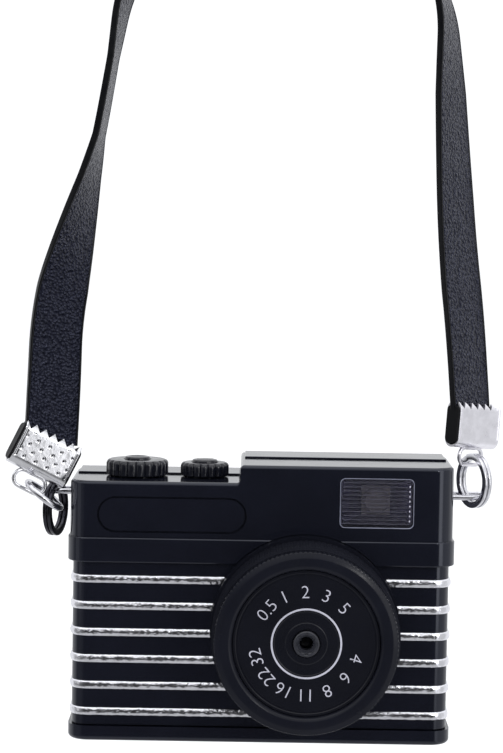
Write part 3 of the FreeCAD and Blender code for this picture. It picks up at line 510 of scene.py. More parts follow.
def strap_turn(share):
    """The strap's turn at a share of its length, in radians."""
    turn = STRAP_TURNS[-1][1]
    for (s0, a0), (s1, a1) in zip(STRAP_TURNS, STRAP_TURNS[1:]):
        if share <= s1:
            turn = a0 + (a1 - a0) * (share - s0) / (s1 - s0)
            break
    return math.radians(turn)


STRAP_RIM = 0.42
STRAP_CORNER = 0.2
STRAP_CROWN = 0.045


def strap_section():
    """(across, through, grain) round the band in millimetres: grain is 1 on its faces, 0 on its edges."""
    half_width = STRAP_WIDTH / 2
    half_depth = STRAP_THICKNESS / 2
    face_columns = 34
    face = []
    for i in range(face_columns + 1):
        a = -1 + 2 * i / face_columns
        across = a * (half_width - STRAP_RIM)
        crown = STRAP_CROWN * (1 - a * a)
        face.append((across, half_depth - 0.06 + crown, 1.0))
    corner = (half_width - STRAP_CORNER, half_depth - 0.015)
    groove = (half_width - STRAP_RIM + 0.06, half_depth - 0.115, 0.2)
    bead = [(half_width - 0.26, half_depth - 0.03, 0.0), (*corner, 0.0)]
    edge = []
    for step in range(1, 6):
        angle = math.radians(90 - 90 * step / 5)
        across = corner[0] + STRAP_CORNER * math.cos(angle)
        through = corner[1] - STRAP_CORNER + STRAP_CORNER * math.sin(angle)
        edge.append((across, through, 0.0))
    side = [groove] + bead + edge
    top = [(-x, z, g) for x, z, g in reversed(side)] + face + side
    bottom = [(-x, -z, g) for x, z, g in top]
    return top + bottom


def neck_strap():
    line = route_points(16)
    lengths = [0.0]
    for a, b in zip(line, line[1:]):
        lengths.append(lengths[-1] + (b - a).length)
    section = strap_section()
    points = []
    slots = []
    for i, place in enumerate(line):
        before = line[max(i - 1, 0)]
        after = line[min(i + 1, len(line) - 1)]
        tangent = (after - before).normalized()
        turn = strap_turn(lengths[i] / lengths[-1])
        across = Vector((math.cos(turn), math.sin(turn), 0))
        across = (across - tangent * across.dot(tangent)).normalized()
        through = tangent.cross(across)
        for x, z, grain in section:
            out = 1 if z > 0 else -1
            spot = place + across * x * MM + through * z * MM
            lump = noise.noise(spot * 1700) * 0.016 + noise.noise(spot * 420) * 0.02
            points.append(spot + through * out * lump * grain * MM)
    columns = len(section)
    faces = grid_faces(len(line), columns, False, True)
    for i in range(len(line) - 1):
        for j in range(columns):
            both = section[j][2] + section[(j + 1) % columns][2]
            slots.append(0 if both > 0.9 else 1)
    faces.append(tuple(reversed(range(columns))))
    faces.append(tuple(range(len(points) - columns, len(points))))
    slots += [1, 1]
    materials = [MATERIALS["strap_leather"], STRAP_EDGE]
    band = add_mesh(
        "strap_band", points, faces, materials, "strap", "strap_leather", "neck_strap", face_slots=slots
    )
    keep_edges(band, 60)
    return band


STRAP_GRAIN = {"grain": 0.006, "grain_size": 0.2}
STRAP_EDGE = plastic(
    "strap_edge", (0.0016, 0.0018, 0.003), 0.3, 0.45, specular_ior_level=0.25, **STRAP_GRAIN
)
STRAP_END = plastic(
    "strap_end", (0.0018, 0.002, 0.003), 0.4, 0.55, specular_ior_level=0.15, **STRAP_GRAIN
)


# ---------------------------------------------------------------- clamps

CLAMP_WIDTH = 9.2
CLAMP_HALF = 1.3
CLAMP_SHEET = 0.32
CLAMP_BOTTOM = 1.2
CLAMP_TOP = 7.9
CLAMP_PITCH = CLAMP_WIDTH / 6
CLAMP_TOOTH = 0.95
LOOP_RUN = 1.3
LOOP_RADIUS = 1.25
LOOP_WIRE = 0.3
DIMPLE_PITCH = 1.95
DIMPLE_DEPTH = 0.2
# For each clamp: the middle of its wire loop, its turn from facing front and its lean.
CLAMPS = {
    "left": (Vector((-34.16, 3.78, 37.50)), 20.0, 27.5),
    "right": (Vector((30.70, 7.10, 41.95)), 45.0, 6.0),
}


def clamp_turn(turn, lean):
    return (
        Matrix.Rotation(math.radians(turn), 3, "Z") @ Matrix.Rotation(math.radians(lean), 3, "Y")
    )


def placed(points, side):
    """Points in a clamp's own millimetres, in the row frame."""
    middle_place, turn, lean = CLAMPS[side]
    rotation = clamp_turn(turn, lean)
    return [at(*(middle_place + rotation @ Vector(point))) for point in points]


def dimple(x, z):
    """Depth of the pressed grid at a place on a flap."""
    p = (x + z) / DIMPLE_PITCH
    q = (x - z) / DIMPLE_PITCH
    away = math.hypot(p - round(p), q - round(q)) * DIMPLE_PITCH * 0.7071
    share = min(1.0, max(0.0, 1.5 - away / 0.17))
    return DIMPLE_DEPTH * share * share * (3 - 2 * share)


def clamp_path():
    """(y, z, out_y, out_z, share) down the front, round the fold and up the back."""
    centre = CLAMP_BOTTOM + CLAMP_HALF
    path = []
    rows = 54
    for i in range(rows):
        path.append((-CLAMP_HALF, CLAMP_TOP + (centre - CLAMP_TOP) * i / rows, -1, 0, 1))
    for step in range(17):
        angle = math.pi + math.pi * step / 16
        path.append((CLAMP_HALF * math.cos(angle), centre + CLAMP_HALF * math.sin(angle),
                     math.cos(angle), math.sin(angle), 0))
    for i in range(1, rows + 1):
        path.append((CLAMP_HALF, centre + (CLAMP_TOP - centre) * i / rows, 1, 0, 1))
    return path


def clamp_sheet(side, dimpled):
    """The folded sheet: toothed jaws bent into the strap, pressed dimples, rolled side edges."""
    columns = 96
    half_width = CLAMP_WIDTH / 2
    shells = []
    for inward in (0.0, CLAMP_SHEET):
        points = []
        for y, z, out_y, out_z, flap in clamp_path():
            for i in range(columns + 1):
                x = -half_width + CLAMP_WIDTH * i / columns
                place_in_pitch = (x + half_width) / CLAMP_PITCH
                tooth = abs(2 * (place_in_pitch - math.floor(place_in_pitch)) - 1)
                out = -inward
                rise = z
                if flap:
                    top = CLAMP_TOP - CLAMP_TOOTH * (1 - tooth)
                    low = CLAMP_TOP - CLAMP_TOOTH - 0.25
                    if z > low:
                        share = (z - low) / (CLAMP_TOP - low)
                        rise = low + (top - low) * share
                        bend = max(0.0, (rise - low) / (CLAMP_TOP - low))
                        out -= 0.62 * bend * bend
                    if dimpled and z < low + 0.1 and abs(x) < half_width - 0.6:
                        out -= dimple(x, z)
                    edge = half_width - abs(x)
                    out += 0.07 * math.exp(-(((edge - 0.14) / 0.12) ** 2))
                    out -= 0.06 * math.exp(-(((edge - 0.42) / 0.1) ** 2))
                points.append((x, y + out_y * out, rise + out_z * out))
        shells.append(points)
    rows = len(clamp_path())
    wide = columns + 1
    outer, inner = shells
    points = outer + inner
    count = len(outer)
    faces = grid_faces(rows, wide, False, False)
    faces += [tuple(reversed(face)) for face in grid_faces(rows, wide, False, False, count)]
    for i in range(rows - 1):
        for column in (0, wide - 1):
            a = i * wide + column
            b = a + wide
            quad = (a, a + count, b + count, b)
            faces.append(quad if column else tuple(reversed(quad)))
    for i in range(columns):
        for row in (0, rows - 1):
            a = row * wide + i
            quad = (a, a + 1, a + 1 + count, a + count)
            faces.append(quad if row else tuple(reversed(quad)))
    return placed(points, side), [tuple(reversed(face)) for face in faces]


def wire_loop(side):
    """The long loop of wire under the fold."""
    line = []
    for step in range(17):
        angle = -math.pi / 2 + math.pi * step / 16
        line.append((LOOP_RUN + LOOP_RADIUS * math.cos(angle), 0, LOOP_RADIUS * math.sin(angle)))
    for step in range(17):
        angle = math.pi / 2 + math.pi * step / 16
        line.append((-LOOP_RUN + LOOP_RADIUS * math.cos(angle), 0, LOOP_RADIUS * math.sin(angle)))
    return tube_mesh(placed(line, side), LOOP_WIRE * MM, closed=True)


def strap_end(side):
    """The padded end of the strap, folded into the clamp, with a rounded outline."""
    half = CLAMP_HALF - CLAMP_SHEET / 2
    low = CLAMP_BOTTOM + CLAMP_SHEET + 0.12
    high = CLAMP_TOP - CLAMP_TOOTH + 0.4
    corners = [(-half, low, 0.9), (half, low, 0.9), (half, high, 0.7), (-half, high, 0.7)]
    outline = rounded_line(corners, 0.8, steps=8, closed=True)
    half_width = CLAMP_WIDTH / 2 + 0.3
    points = []
    stations = [(-half_width, 0.72), (-half_width + 0.05, 0.88), (-half_width + 0.18, 1.0)]
    for i in range(1, 20):
        stations.append((-half_width + 0.18 + (2 * half_width - 0.36) * i / 20, 1.0))
    stations += [(-x, share) for x, share in reversed(stations[:3])]
    centre_z = (low + high) / 2
    for x, share in stations:
        inset = (1 - share) * 0.5
        for y, z in outline:
            away = Vector((y, z - centre_z))
            scaled = away * (1 - inset / max(away.length, 0.1))
            points.append((x, scaled.x, centre_z + scaled.y))
    count = len(outline)
    faces = grid_faces(len(stations), count, False, True)
    faces.append(tuple(reversed(range(count))))
    faces.append(tuple(range(len(points) - count, len(points))))
    return placed(points, side), faces


def add_clamps():
    for side in ("left", "right"):
        points, faces = joined(clamp_sheet(side, side == "left"), wire_loop(side))
        piece = add_mesh(
            "clamp_" + side, points, faces, [MATERIALS["clamp_" + side]], "strap", "ring_nickel",
            "strap_clamp_" + side,
        )
        keep_edges(piece, 40)
        points, faces = strap_end(side)
        end = add_mesh(
            "strap_end_" + side, points, faces, [STRAP_END], "strap", "strap_leather"
        )
        keep_edges(end, 40)


# Both clamps are the same nickel; the left clamp's colour is set darker than the right clamp's as painted
# shade.
MATERIALS["clamp_left"] = metal("clamp_left", (0.80, 0.80, 0.83), 0.14, 0.26, dents=0.016)
MATERIALS["clamp_right"] = metal("clamp_right", (0.90, 0.89, 0.94), 0.26, 0.36, dents=0.012)
add_clamps()


# ---------------------------------------------------------------- rings and lugs

LUG_Y = 7.8
LUG_Z = 35.7
LUG_WIRE = 0.42
LUG_SPAN = 4.2
LUG_ROOT = 26.4
LUG_REACH = 33.5
LUG_BEND = 1.25
COLLAR_RADIUS = 0.86
COLLAR_STATIONS = (27.3, 27.98, 28.0, 28.1, 28.22, 28.3)
RING_MIDDLE_RADIUS = 3.6
RING_HALF_DEPTH = 0.47
RING_HALF_WIDTH = 0.3
# The two turns lie this far to either side of the ring's middle plane.
RING_SHIFT = 0.33
ROUND_RING_RADIUS = 3.02
ROUND_RING_WIRE = 0.47
ROUND_RING_START = math.radians(212)
ROUND_RING_GAP = 0.05
# Middle, turn from facing sideways and material of each two-turn ring. The left ring's near-black metal is
# painted shade.
TWO_TURN_RINGS = {
    "left": (Vector((-30.6, LUG_Y, 33.17)), -15.0, "ring_black"),
    "right": (Vector((31.4, LUG_Y, 38.23)), 27.0, "ring_nickel"),
}


def two_turn_ring(side):
    """Flat wire wound twice round, crossing over near the top."""
    centre, turn, slot = TWO_TURN_RINGS[side]
    rotation = Matrix.Rotation(math.radians(turn), 3, "Z")
    corners = [
        (-RING_HALF_WIDTH, -RING_HALF_DEPTH),
        (RING_HALF_WIDTH, -RING_HALF_DEPTH),
        (RING_HALF_WIDTH, RING_HALF_DEPTH),
        (-RING_HALF_WIDTH, RING_HALF_DEPTH),
    ]
    section = rounded_line(corners, 0.17, steps=4, closed=True)
    steps = 232
    start = math.radians(70)
    points = []
    for step in range(steps + 1):
        angle = start + 4 * math.pi * step / steps
        share = min(1.0, max(0.0, (step / steps - 0.46) / 0.08))
        share = share * share * (3 - 2 * share)
        shift = RING_SHIFT * (2 * share - 1)
        for x, r in section:
            radius = RING_MIDDLE_RADIUS + r
            spot = Vector((shift + x, radius * math.cos(angle), radius * math.sin(angle)))
            points.append(at(*(centre + rotation @ spot)))
    count = len(section)
    faces = [tuple(reversed(face)) for face in grid_faces(steps + 1, count, False, True)]
    faces.append(tuple(range(count)))
    faces.append(tuple(reversed(range(len(points) - count, len(points)))))
    piece = add_mesh(
        "two_turn_ring_" + side, points, faces, [MATERIALS[slot]], "strap", slot,
        "split_ring_" + side,
    )
    keep_edges(piece, 50)


def round_ring():
    """A ring of round wire, its ends almost touching."""
    centre = Vector((-32.0, LUG_Y - 4.1, 35.6))
    along = Vector((-0.79, 0, 0.61)).normalized()
    line = []
    for step in range(97):
        angle = ROUND_RING_START + (2 * math.pi - ROUND_RING_GAP) * step / 96
        spot = along * math.cos(angle) * ROUND_RING_RADIUS
        spot += Vector((0, ROUND_RING_RADIUS * math.sin(angle), 0))
        line.append(at(*(centre + spot)))
    points, faces = tube_mesh(line, ROUND_RING_WIRE * MM, segments=20)
    piece = add_mesh(
        "round_ring", points, faces, [MATERIALS["ring_nickel"]], "strap", "ring_nickel", "jump_ring"
    )
    keep_edges(piece, 50)


def lug_piece(side):
    """A U of wire with a turned collar where each leg enters the case."""
    corners = [
        (side * LUG_ROOT, LUG_Y),
        (side * LUG_REACH, LUG_Y),
        (side * LUG_REACH, LUG_Y + LUG_SPAN),
        (side * LUG_ROOT, LUG_Y + LUG_SPAN),
    ]
    line = [at(x, y, LUG_Z) for x, y in rounded_line(corners, LUG_BEND, steps=10)]
    parts = [tube_mesh(line, LUG_WIRE * MM, segments=20)]
    for y in (LUG_Y, LUG_Y + LUG_SPAN):
        collar = [at(side * x, y, LUG_Z) for x in COLLAR_STATIONS]
        parts.append(tube_mesh(collar, COLLAR_RADIUS * MM, segments=32))
    points, faces = joined(*parts)
    name = "left" if side < 0 else "right"
    piece = add_mesh(
        "lug_wire_" + name, points, faces, [MATERIALS["ring_nickel"]], "case", "ring_nickel",
        "lug_" + name,
    )
    keep_edges(piece, 40)


def add_rings():
    for side in ("left", "right"):
        two_turn_ring(side)
    round_ring()
    for side in (-1, 1):
        lug_piece(side)


add_rings()
neck_strap()


# ---------------------------------------------------------------- lens

LENS = (6.5, 17.04)
KNURL_COUNT = 96
KNURL_PITCH = 0.86
KNURL_DEPTH = 0.24
KNURL_FRONT = -9.85
KNURL_BACK = -2.95
SERRATIONS = 120
SERRATION_DEPTH = 0.15
NUMBER_FACE = -12.0
NUMBER_SIZE = 2.6
NUMBER_RADIUS = 7.25
NUMBER_RELIEF = 0.02
NUMBER_THINNING = 0.035
# Clock angle of the first number and the angle from first to last, in degrees.
UPPER_ARC = (-50, 96)
LOWER_ARC = (106, 148)


def fine_heights(start, end, step):
    count = max(1, round(abs(end - start) / step))
    return [start + (end - start) * i / count for i in range(count + 1)]


def knurl(angle, radius, height):
    """Rows of raised diamonds, every other row shifted by half."""
    if radius < 13.2 or not KNURL_FRONT < height < KNURL_BACK:
        return 0.0
    row = (height - KNURL_FRONT) / KNURL_PITCH
    column = angle / (2 * math.pi) * KNURL_COUNT + (0.5 if math.floor(row) % 2 else 0.0)
    across = abs(column - math.floor(column) - 0.5) * 2
    down = abs(row - math.floor(row) - 0.5) * 2
    share = max(0.0, 1.1 - across - down * 0.9)
    return -KNURL_DEPTH + KNURL_DEPTH * min(1.0, share * 1.7)


def serration(angle, radius, height):
    if radius < 13.0 or height > -10.72 or height < -12.35:
        return 0.0
    turn = angle / (2 * math.pi) * SERRATIONS
    return -SERRATION_DEPTH * abs(2 * (turn - math.floor(turn)) - 1)


def focus_ring():
    profile = [(11.92, -10.3), (12.1, -10.45), (13.0, -10.45), (13.15, -10.4), (13.2, -10.25)]
    profile += [(13.2, -10.0), (13.42, -9.86)]
    profile += [(13.45, height) for height in fine_heights(-9.84, -2.96, 0.172)]
    profile += [(13.42, -2.94), (13.2, -2.8), (13.2, -2.5), (13.1, -2.36), (11.92, -2.36)]
    ring = lathe(
        "knurled_ring", profile, LENS, "y", KNURL_COUNT * 5, [GRIP_BLACK],
        "focus_ring", "lens_black", "focus_ring", relief=knurl,
    )
    keep_edges(ring, 50)


def bezel():
    profile = [(11.85, -10.62), (11.85, -11.1), (10.5, -11.1), (10.5, -12.2), (10.58, -12.42)]
    profile += [(10.78, -12.62), (11.0, -12.73), (11.15, -12.75), (12.1, -12.75), (12.3, -12.72)]
    profile += [(12.72, -12.5), (12.95, -12.42), (13.11, -12.3)]
    profile += [(13.11, height) for height in fine_heights(-12.2, -10.8, 0.7)]
    profile += [(12.95, -10.64), (12.8, -10.62)]
    ring = lathe(
        "toothed_bezel", profile, LENS, "y", SERRATIONS * 6, [MATERIALS["lens_black"]],
        "case", "lens_black", "lens_bezel", relief=serration,
    )
    keep_edges(ring, 30)


def face_plate():
    """A plate with a fine step inside its rim and a shallow dish round the nose."""
    profile = [(1.95, -11.22), (1.95, -11.9), (2.1, -12.0), (2.9, -12.0), (3.0, -11.94)]
    profile += [(4.5, -11.94), (4.6, -12.0), (9.75, -12.0), (9.83, -11.94), (9.98, -11.94)]
    profile += [(10.06, -12.0), (10.36, -12.0), (10.45, -11.92), (10.45, -11.22)]
    plate = lathe(
        "numbered_plate", profile, LENS, "y", 192, [MATERIALS["face_black"]],
        "case", "face_black", "lens_face_plate",
    )
    keep_edges(plate, 30)
    line = [(4.78, -11.99), (4.78, -12.02), (4.8, -12.03), (5.02, -12.03), (5.04, -12.02), (5.04, -11.99)]
    ring = lathe("face_line", line, LENS, "y", 160, [PRINT], "case", "foil_trim")
    keep_edges(ring, 40)


def printed(text, turn):
    """Points and faces of a number whose foot points to the lens axis, at a clock angle in degrees."""
    data = bpy.data.curves.new("number", "FONT")
    data.body = text
    data.size = NUMBER_SIZE * MM
    data.extrude = NUMBER_RELIEF * MM
    data.offset = -NUMBER_THINNING * MM
    data.resolution_u = 3
    data.align_x = "CENTER"
    data.align_y = "CENTER"
    bare = bpy.data.objects.new("number", data)
    mesh = bpy.data.meshes.new_from_object(bare)
    angle = math.radians(turn)
    points = []
    for vertex in mesh.vertices:
        x, y, z = vertex.co / MM
        r = NUMBER_RADIUS + y
        c = math.cos(angle)
        d = math.sin(angle)
        across = LENS[0] + r * d + x * c
        rise = LENS[1] + r * c - x * d
        points.append(at(across, NUMBER_FACE - z, rise))
    faces = [tuple(reversed(polygon.vertices)) for polygon in mesh.polygons]
    bpy.data.meshes.remove(mesh)
    bpy.data.curves.remove(data)
    return points, faces


def face_numbers():
    upper = ["0.5", "1", "2", "3", "5"]
    lower = ["4", "6", "8", "11", "16", "22", "32"]
    parts = []
    for numbers, (start, sweep) in ((upper, UPPER_ARC), (lower, LOWER_ARC)):
        for i, text in enumerate(numbers):
            parts.append(printed(text, start + sweep * i / (len(numbers) - 1)))
    points, faces = joined(*parts)
    add_mesh("face_numbers", points, faces, [PRINT], "case", "foil_trim")


def nose_notch(angle, radius, height):
    return 0.2 if radius < 1.45 and math.cos(8 * angle) > 0.35 else 0.0


def nose_ring():
    profile = [(1.34, -12.3), (1.34, -12.46), (1.4, -12.52), (1.72, -12.52), (1.82, -12.44), (1.84, -12.3)]
    ring = lathe(
        "nose_ring", profile, LENS, "y", 128, [MATERIALS["cell_black"]], "lens_cell", "cell_black",
        relief=nose_notch,
    )
    keep_edges(ring, 30)


PRINT = plastic("print", (0.36, 0.36, 0.42), 0.42, 0.55, grain=0.001)
GRIP_BLACK = plastic("grip_black", SOFT_BLACK, 0.5, 0.65, grain=0.004, specular_ior_level=0.05)
focus_ring()
bezel()
face_plate()
face_numbers()
nose_ring()


# ---------------------------------------------------------------- dials and buttons

DECK = 38.22
DIAL_BOTTOM = DECK + 0.12
DIAL_Y = 8.2
MODE_X = -18.55
SELECT_X = -8.55


def dial(name, node, x, radius, top, hub, flutes):
    """A dial with rounded grips round it, a soft upper rim and a countersunk bore."""

    def grips(angle, r, height):
        if r < radius - 0.3 or height < DIAL_BOTTOM:
            return 0.0
        lobe = abs(math.sin(flutes * angle / 2)) ** 0.6
        return -0.34 * (1 - lobe)

    profile = [
        (1.98, 37.1), (1.98, top - 0.12), (2.12, top), (radius - 0.62, top), (radius - 0.48, top - 0.02),
        (radius - 0.26, top - 0.12), (radius - 0.1, top - 0.28), (radius, top - 0.5), (radius, top - 1.0),
        (radius, DIAL_BOTTOM + 0.3), (radius - 0.05, DIAL_BOTTOM + 0.14), (radius - 0.2, DIAL_BOTTOM + 0.04),
        (radius - 0.45, DIAL_BOTTOM), (hub, DIAL_BOTTOM), (hub, 36.02), (0.95, 36.02), (0.95, 37.1),
    ]
    profile = [(r, z) for r, z in reversed(profile)]
    piece = lathe(
        name, profile, (x, DIAL_Y), "z", flutes * 16, [MATERIALS["dial_black"]], node, "dial_black", node,
        relief=grips,
    )
    keep_edges(piece, 35)


def button(name, node, x, top, crown):
    """crown is the button's top: (radius, height above its rim) from the rim to the middle."""
    profile = [(0.8, 35.06), (0.8, 38.95), (1.9, 38.95), (1.9, top - 0.3), (1.84, top - 0.12)]
    profile += [(1.72, top - 0.02)] + [(r, top + h) for r, h in crown] + [(0.003, 35.06)]
    profile = [(r, z) for r, z in reversed(profile)]
    piece = lathe(
        name, profile, (x, DIAL_Y), "z", 96, [MATERIALS["button_black"]], node, "button_black", node
    )
    keep_edges(piece, 35)


dial("fluted_mode_dial", "mode_dial", MODE_X, 4.62, DECK + 2.45, 2.9, 20)
dial("fluted_select_dial", "select_dial", SELECT_X, 3.6, DECK + 2.15, 2.6, 18)
DISH = [(1.58, 0.0), (1.4, -0.02), (1.2, -0.09), (0.9, -0.15), (0.5, -0.18), (0.003, -0.19)]
DOME = [(1.5, 0.02), (1.25, 0.05), (1.22, 0.0), (1.12, 0.0), (1.08, 0.06), (0.6, 0.11), (0.003, 0.12)]
button("dished_button", "shutter_button", MODE_X, DECK + 2.85, DISH)
button("domed_button", "power_button", SELECT_X, DECK + 2.55, DOME)

SPRING_FOOT = 37.12
SPRING_WIRE = 0.28
SPRING_RADIUS = 1.45
SPRING_RISE = 1.53
SPRING_TURNS = 3


def button_spring(name, node, x, dial_body):
    """A short coil on the dial's shelf, under its button."""
    line = []
    steps = 32 * SPRING_TURNS
    for step in range(steps + 1):
        share = step / steps
        angle = 2 * math.pi * SPRING_TURNS * share
        rise = SPRING_FOOT + SPRING_WIRE / 2 + SPRING_RISE * share
        line.append(at(x + SPRING_RADIUS * math.cos(angle), DIAL_Y + SPRING_RADIUS * math.sin(angle), rise))
    points, faces = tube_mesh(line, SPRING_WIRE / 2 * MM, segments=12)
    coil = add_mesh(name, points, faces, [MATERIALS["spring_steel"]], dial_body, "spring_steel", node)
    keep_edges(coil, 60)
    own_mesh(coil)


button_spring("shutter_coil", "shutter_spring", MODE_X, "mode_dial")
button_spring("power_coil", "power_spring", SELECT_X, "select_dial")


# ---------------------------------------------------------------- trim stripes

STRIPE_FIRST = 4.30
STRIPE_PITCH = 3.91
STRIPE_SECTION = [
    (-0.625, -0.3), (-0.625, -0.06), (-0.6, 0.09), (-0.52, 0.19), (-0.4, 0.25), (-0.27, 0.29),
    (-0.13, 0.315), (0.0, 0.32), (0.13, 0.315), (0.27, 0.29), (0.4, 0.25), (0.52, 0.19), (0.6, 0.09),
    (0.625, -0.06), (0.625, -0.3),
]
TRIM_RADIUS = 13.87
SIDE_X = 27.55
FRONT_Y = 0.45
BEND = 2.55


def stripe(side, height):
    """One band from the seam, round the corner and along the front to the lens."""
    corner_x = side * (SIDE_X - BEND)
    corner_y = FRONT_Y + BEND
    line = []
    for y in fine_heights(9.9, corner_y, 0.25):
        line.append((side * SIDE_X, y, side, 0.0))
    for step in range(1, 14):
        angle = math.pi / 2 * step / 14
        nx = side * math.cos(angle)
        ny = -math.sin(angle)
        line.append((corner_x + BEND * nx, corner_y + BEND * ny, nx, ny))
    turns = len(line)
    straight = 130 if side < 0 else 40
    points = []
    for i in range(turns + straight + 1):
        for z, out in STRIPE_SECTION:
            rise = height + z
            if i < turns:
                x, y, nx, ny = line[i]
            else:
                share = (i - turns) / straight
                reach = math.sqrt(TRIM_RADIUS**2 - (rise - LENS[1]) ** 2)
                end_x = LENS[0] + side * reach
                x, y, nx, ny = corner_x + (end_x - corner_x) * share, FRONT_Y, 0.0, -1.0
            spot = Vector((x, y, rise))
            hammer = noise.noise(spot * 2.1) * 0.055 + noise.noise(spot * 4.7) * 0.022
            lifted = out + (hammer if out > 0 else 0.0)
            points.append(at(x + nx * lifted, y + ny * lifted, rise + (hammer * 0.3 if out > 0 else 0)))
    count = len(STRIPE_SECTION)
    faces = grid_faces(turns + straight + 1, count, False, True)
    if side > 0:
        faces = [tuple(reversed(face)) for face in faces]
    faces.append(tuple(range(count)) if side > 0 else tuple(reversed(range(count))))
    last = range(len(points) - count, len(points))
    faces.append(tuple(reversed(last)) if side > 0 else tuple(last))
    return points, faces


def add_stripes():
    for side, name in ((-1, "left"), (1, "right")):
        bands = [stripe(side, STRIPE_FIRST + STRIPE_PITCH * row) for row in range(6)]
        points, faces = joined(*bands)
        piece = add_mesh(
            "foil_stripes_" + name, points, faces, [MATERIALS["foil_trim"]], "case", "foil_trim",
            "trim_stripes_" + name,
        )
        keep_edges(piece, 60)


add_stripes()


# ---------------------------------------------------------------- flash window

WINDOW = (16.71, 35.55)
WINDOW_HALF = (5.35, 3.6)
WINDOW_CORNER = 0.75
LINE_WIRE = 0.075
WINDOW_RIDGES = 11
RIDGE_PITCH = 0.6
RIDGE_WIRE = 0.045
BEADS = 8
BEAD_X = 4.75
BEAD_PITCH = 0.72
BEAD_HALF = 0.12
BEAD_WIRE = 0.1


def window_lines():
    """A fine moulded line round the pane, coloured light grey as a painted highlight, ridges across it, and
    beads inside its right edge, coloured pale grey as painted glints.
    """
    half_x, half_z = WINDOW_HALF
    corners = [(-half_x, -half_z), (half_x, -half_z), (half_x, half_z), (-half_x, half_z)]
    line = [
        at(WINDOW[0] + x, 0.14, WINDOW[1] + z)
        for x, z in rounded_line(corners, WINDOW_CORNER, steps=8, closed=True)
    ]
    frame_line = tube_mesh(line, LINE_WIRE * MM, closed=True, segments=10)
    ridges = []
    for row in range(WINDOW_RIDGES):
        z = WINDOW[1] + RIDGE_PITCH * (row - (WINDOW_RIDGES - 1) / 2)
        ridge = [at(WINDOW[0] + x, 0.05, z) for x in (-4.85, -2.0, 1.0, 4.3)]
        ridges.append(tube_mesh(ridge, RIDGE_WIRE * MM, segments=8))
    beads = []
    for step in range(BEADS):
        z = WINDOW[1] + BEAD_PITCH * (step - (BEADS - 1) / 2)
        bead = [at(WINDOW[0] + BEAD_X, 0.16, z + end) for end in (-BEAD_HALF, BEAD_HALF)]
        beads.append(tube_mesh(bead, BEAD_WIRE * MM, segments=8))
    for name, parts, material in (
        ("window_line", [frame_line], WINDOW_LINE_PAINTED_HIGHLIGHT),
        ("window_ridges", ridges, WINDOW_RIDGE),
        ("window_beads", beads, WINDOW_BEAD_PAINTED_GLINT),
    ):
        points, faces = joined(*parts)
        piece = add_mesh(name, points, faces, [material], "case", "window_clear")
        keep_edges(piece, 50)


# Painted highlight: the line round the pane is coloured light grey in place of the light its edge catches.
WINDOW_LINE_PAINTED_HIGHLIGHT = plastic("window_line", (0.10, 0.105, 0.14), 0.15, 0.3, wear=3.0)
WINDOW_RIDGE = plastic("window_ridge", (0.022, 0.022, 0.034), 0.2, 0.4, wear=3.0)
# Painted glints: the beads at the ridges' ends are coloured pale grey in place of the light they catch.
WINDOW_BEAD_PAINTED_GLINT = plastic("window_bead", (0.30, 0.30, 0.36), 0.15, 0.3, wear=2.6)
window_lines()


# ---------------------------------------------------------------- stage


def add_floor():
    bpy.ops.mesh.primitive_plane_add(size=6, location=(0, 0, cad_low.z - 0.02))
    floor = bpy.context.object
    floor.name = "floor"
    surface = Surface("floor_white", (0.95, 0.95, 0.95), 0.9)
    surface.colour(surface.noise(200), [(0.3, (0.95, 0.95, 0.95)), (0.7, (0.97, 0.97, 0.97))])
    floor.data.materials.append(surface.material)
    floor.visible_glossy = False


def add_softbox(name, place, target, width, height, power):
    data = bpy.data.lights.new(name, "AREA")
    data.shape = "RECTANGLE"
    data.size = width
    data.size_y = height
    data.energy = power
    light = bpy.data.objects.new(name, data)
    light.location = place
    light.rotation_mode = "QUATERNION"
    light.rotation_quaternion = (target - place).to_track_quat("-Z", "Y")
    light.visible_camera = False
    bpy.context.scene.collection.objects.link(light)


# How bright the room is to glossy surfaces, by direction, and how bright it is to all else.
FRONT_GLOSS = 0.035
BACK_GLOSS = 0.95
TOP_GLOSS = 1.15
RIGHT_GLOSS = 1.05
FAR_RIGHT_GLOSS = 0.7
LEFT_GLOSS = 0.24
LOW_GLOSS = 0.6
ROOM_LIGHT = 1.1


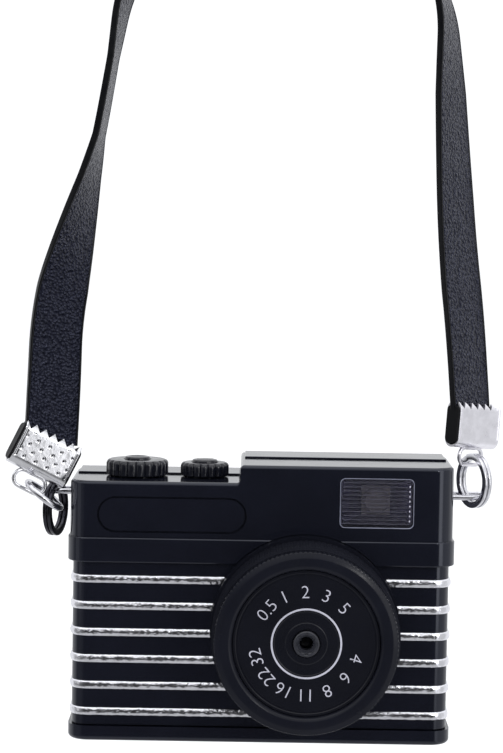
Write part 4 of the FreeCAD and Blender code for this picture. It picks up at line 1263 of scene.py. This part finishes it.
def add_world():
    """White for light and for the view. Gloss sees a dark room in front and bright cloth round it."""
    world = bpy.data.worlds.new("studio")
    world.use_nodes = True
    nodes = world.node_tree.nodes
    links = world.node_tree.links
    background = nodes["Background"]
    place = nodes.new("ShaderNodeTexCoord")
    split = nodes.new("ShaderNodeSeparateXYZ")
    links.new(place.outputs["Generated"], split.inputs[0])

    def fade(axis, start, end, low, high):
        node = nodes.new("ShaderNodeMapRange")
        node.interpolation_type = "SMOOTHSTEP"
        for socket, value in zip(node.inputs[1:5], (start, end, low, high)):
            socket.default_value = value
        links.new(split.outputs[axis], node.inputs["Value"])
        return node.outputs[0]

    def combined(operation, a, b):
        node = nodes.new("ShaderNodeMath")
        node.operation = operation
        links.new(a, node.inputs[0])
        links.new(b, node.inputs[1])
        return node.outputs[0]

    level = fade("Z", 0.14, 0.6, FRONT_GLOSS, TOP_GLOSS)
    right = combined(
        "MINIMUM",
        fade("X", 0.5, 0.62, FRONT_GLOSS, RIGHT_GLOSS),
        fade("X", 0.68, 0.8, RIGHT_GLOSS, FAR_RIGHT_GLOSS),
    )
    for side in (
        right,
        fade("X", -0.5, -0.8, FRONT_GLOSS, LEFT_GLOSS),
        fade("Y", -0.25, 0.35, FRONT_GLOSS, BACK_GLOSS),
        fade("Z", -0.22, -0.6, FRONT_GLOSS, LOW_GLOSS),
    ):
        level = combined("MAXIMUM", level, side)
    seen = nodes.new("ShaderNodeLightPath")
    pick = nodes.new("ShaderNodeMix")
    links.new(seen.outputs["Is Glossy Ray"], pick.inputs["Factor"])
    pick.inputs["A"].default_value = ROOM_LIGHT
    links.new(level, pick.inputs["B"])
    background.inputs["Color"].default_value = (0.97, 0.98, 1.0, 1)
    links.new(pick.outputs[0], background.inputs["Strength"])
    bpy.context.scene.world = world


# Each softbox: its place from the middle of the case, width, height and power.
SOFTBOXES = {
    "soft_top": ((0, -0.05, 0.75), 0.9, 0.7, 1.6),
    "soft_right": ((0.60, -0.60, 0.22), 0.34, 0.8, 1.0),
    "small_front": ((0.42, -0.80, 0.34), 0.12, 0.14, 0.9),
    "soft_left": ((-0.7, -0.28, 0.2), 0.3, 0.7, 0.25),
}


def add_studio():
    body_middle = at(0, 9, 22)
    add_floor()
    add_world()
    for name, (place, width, height, power) in SOFTBOXES.items():
        add_softbox(name, body_middle + Vector(place), body_middle, width, height, power)
    bpy.context.scene.view_settings.view_transform = "Standard"


add_studio()
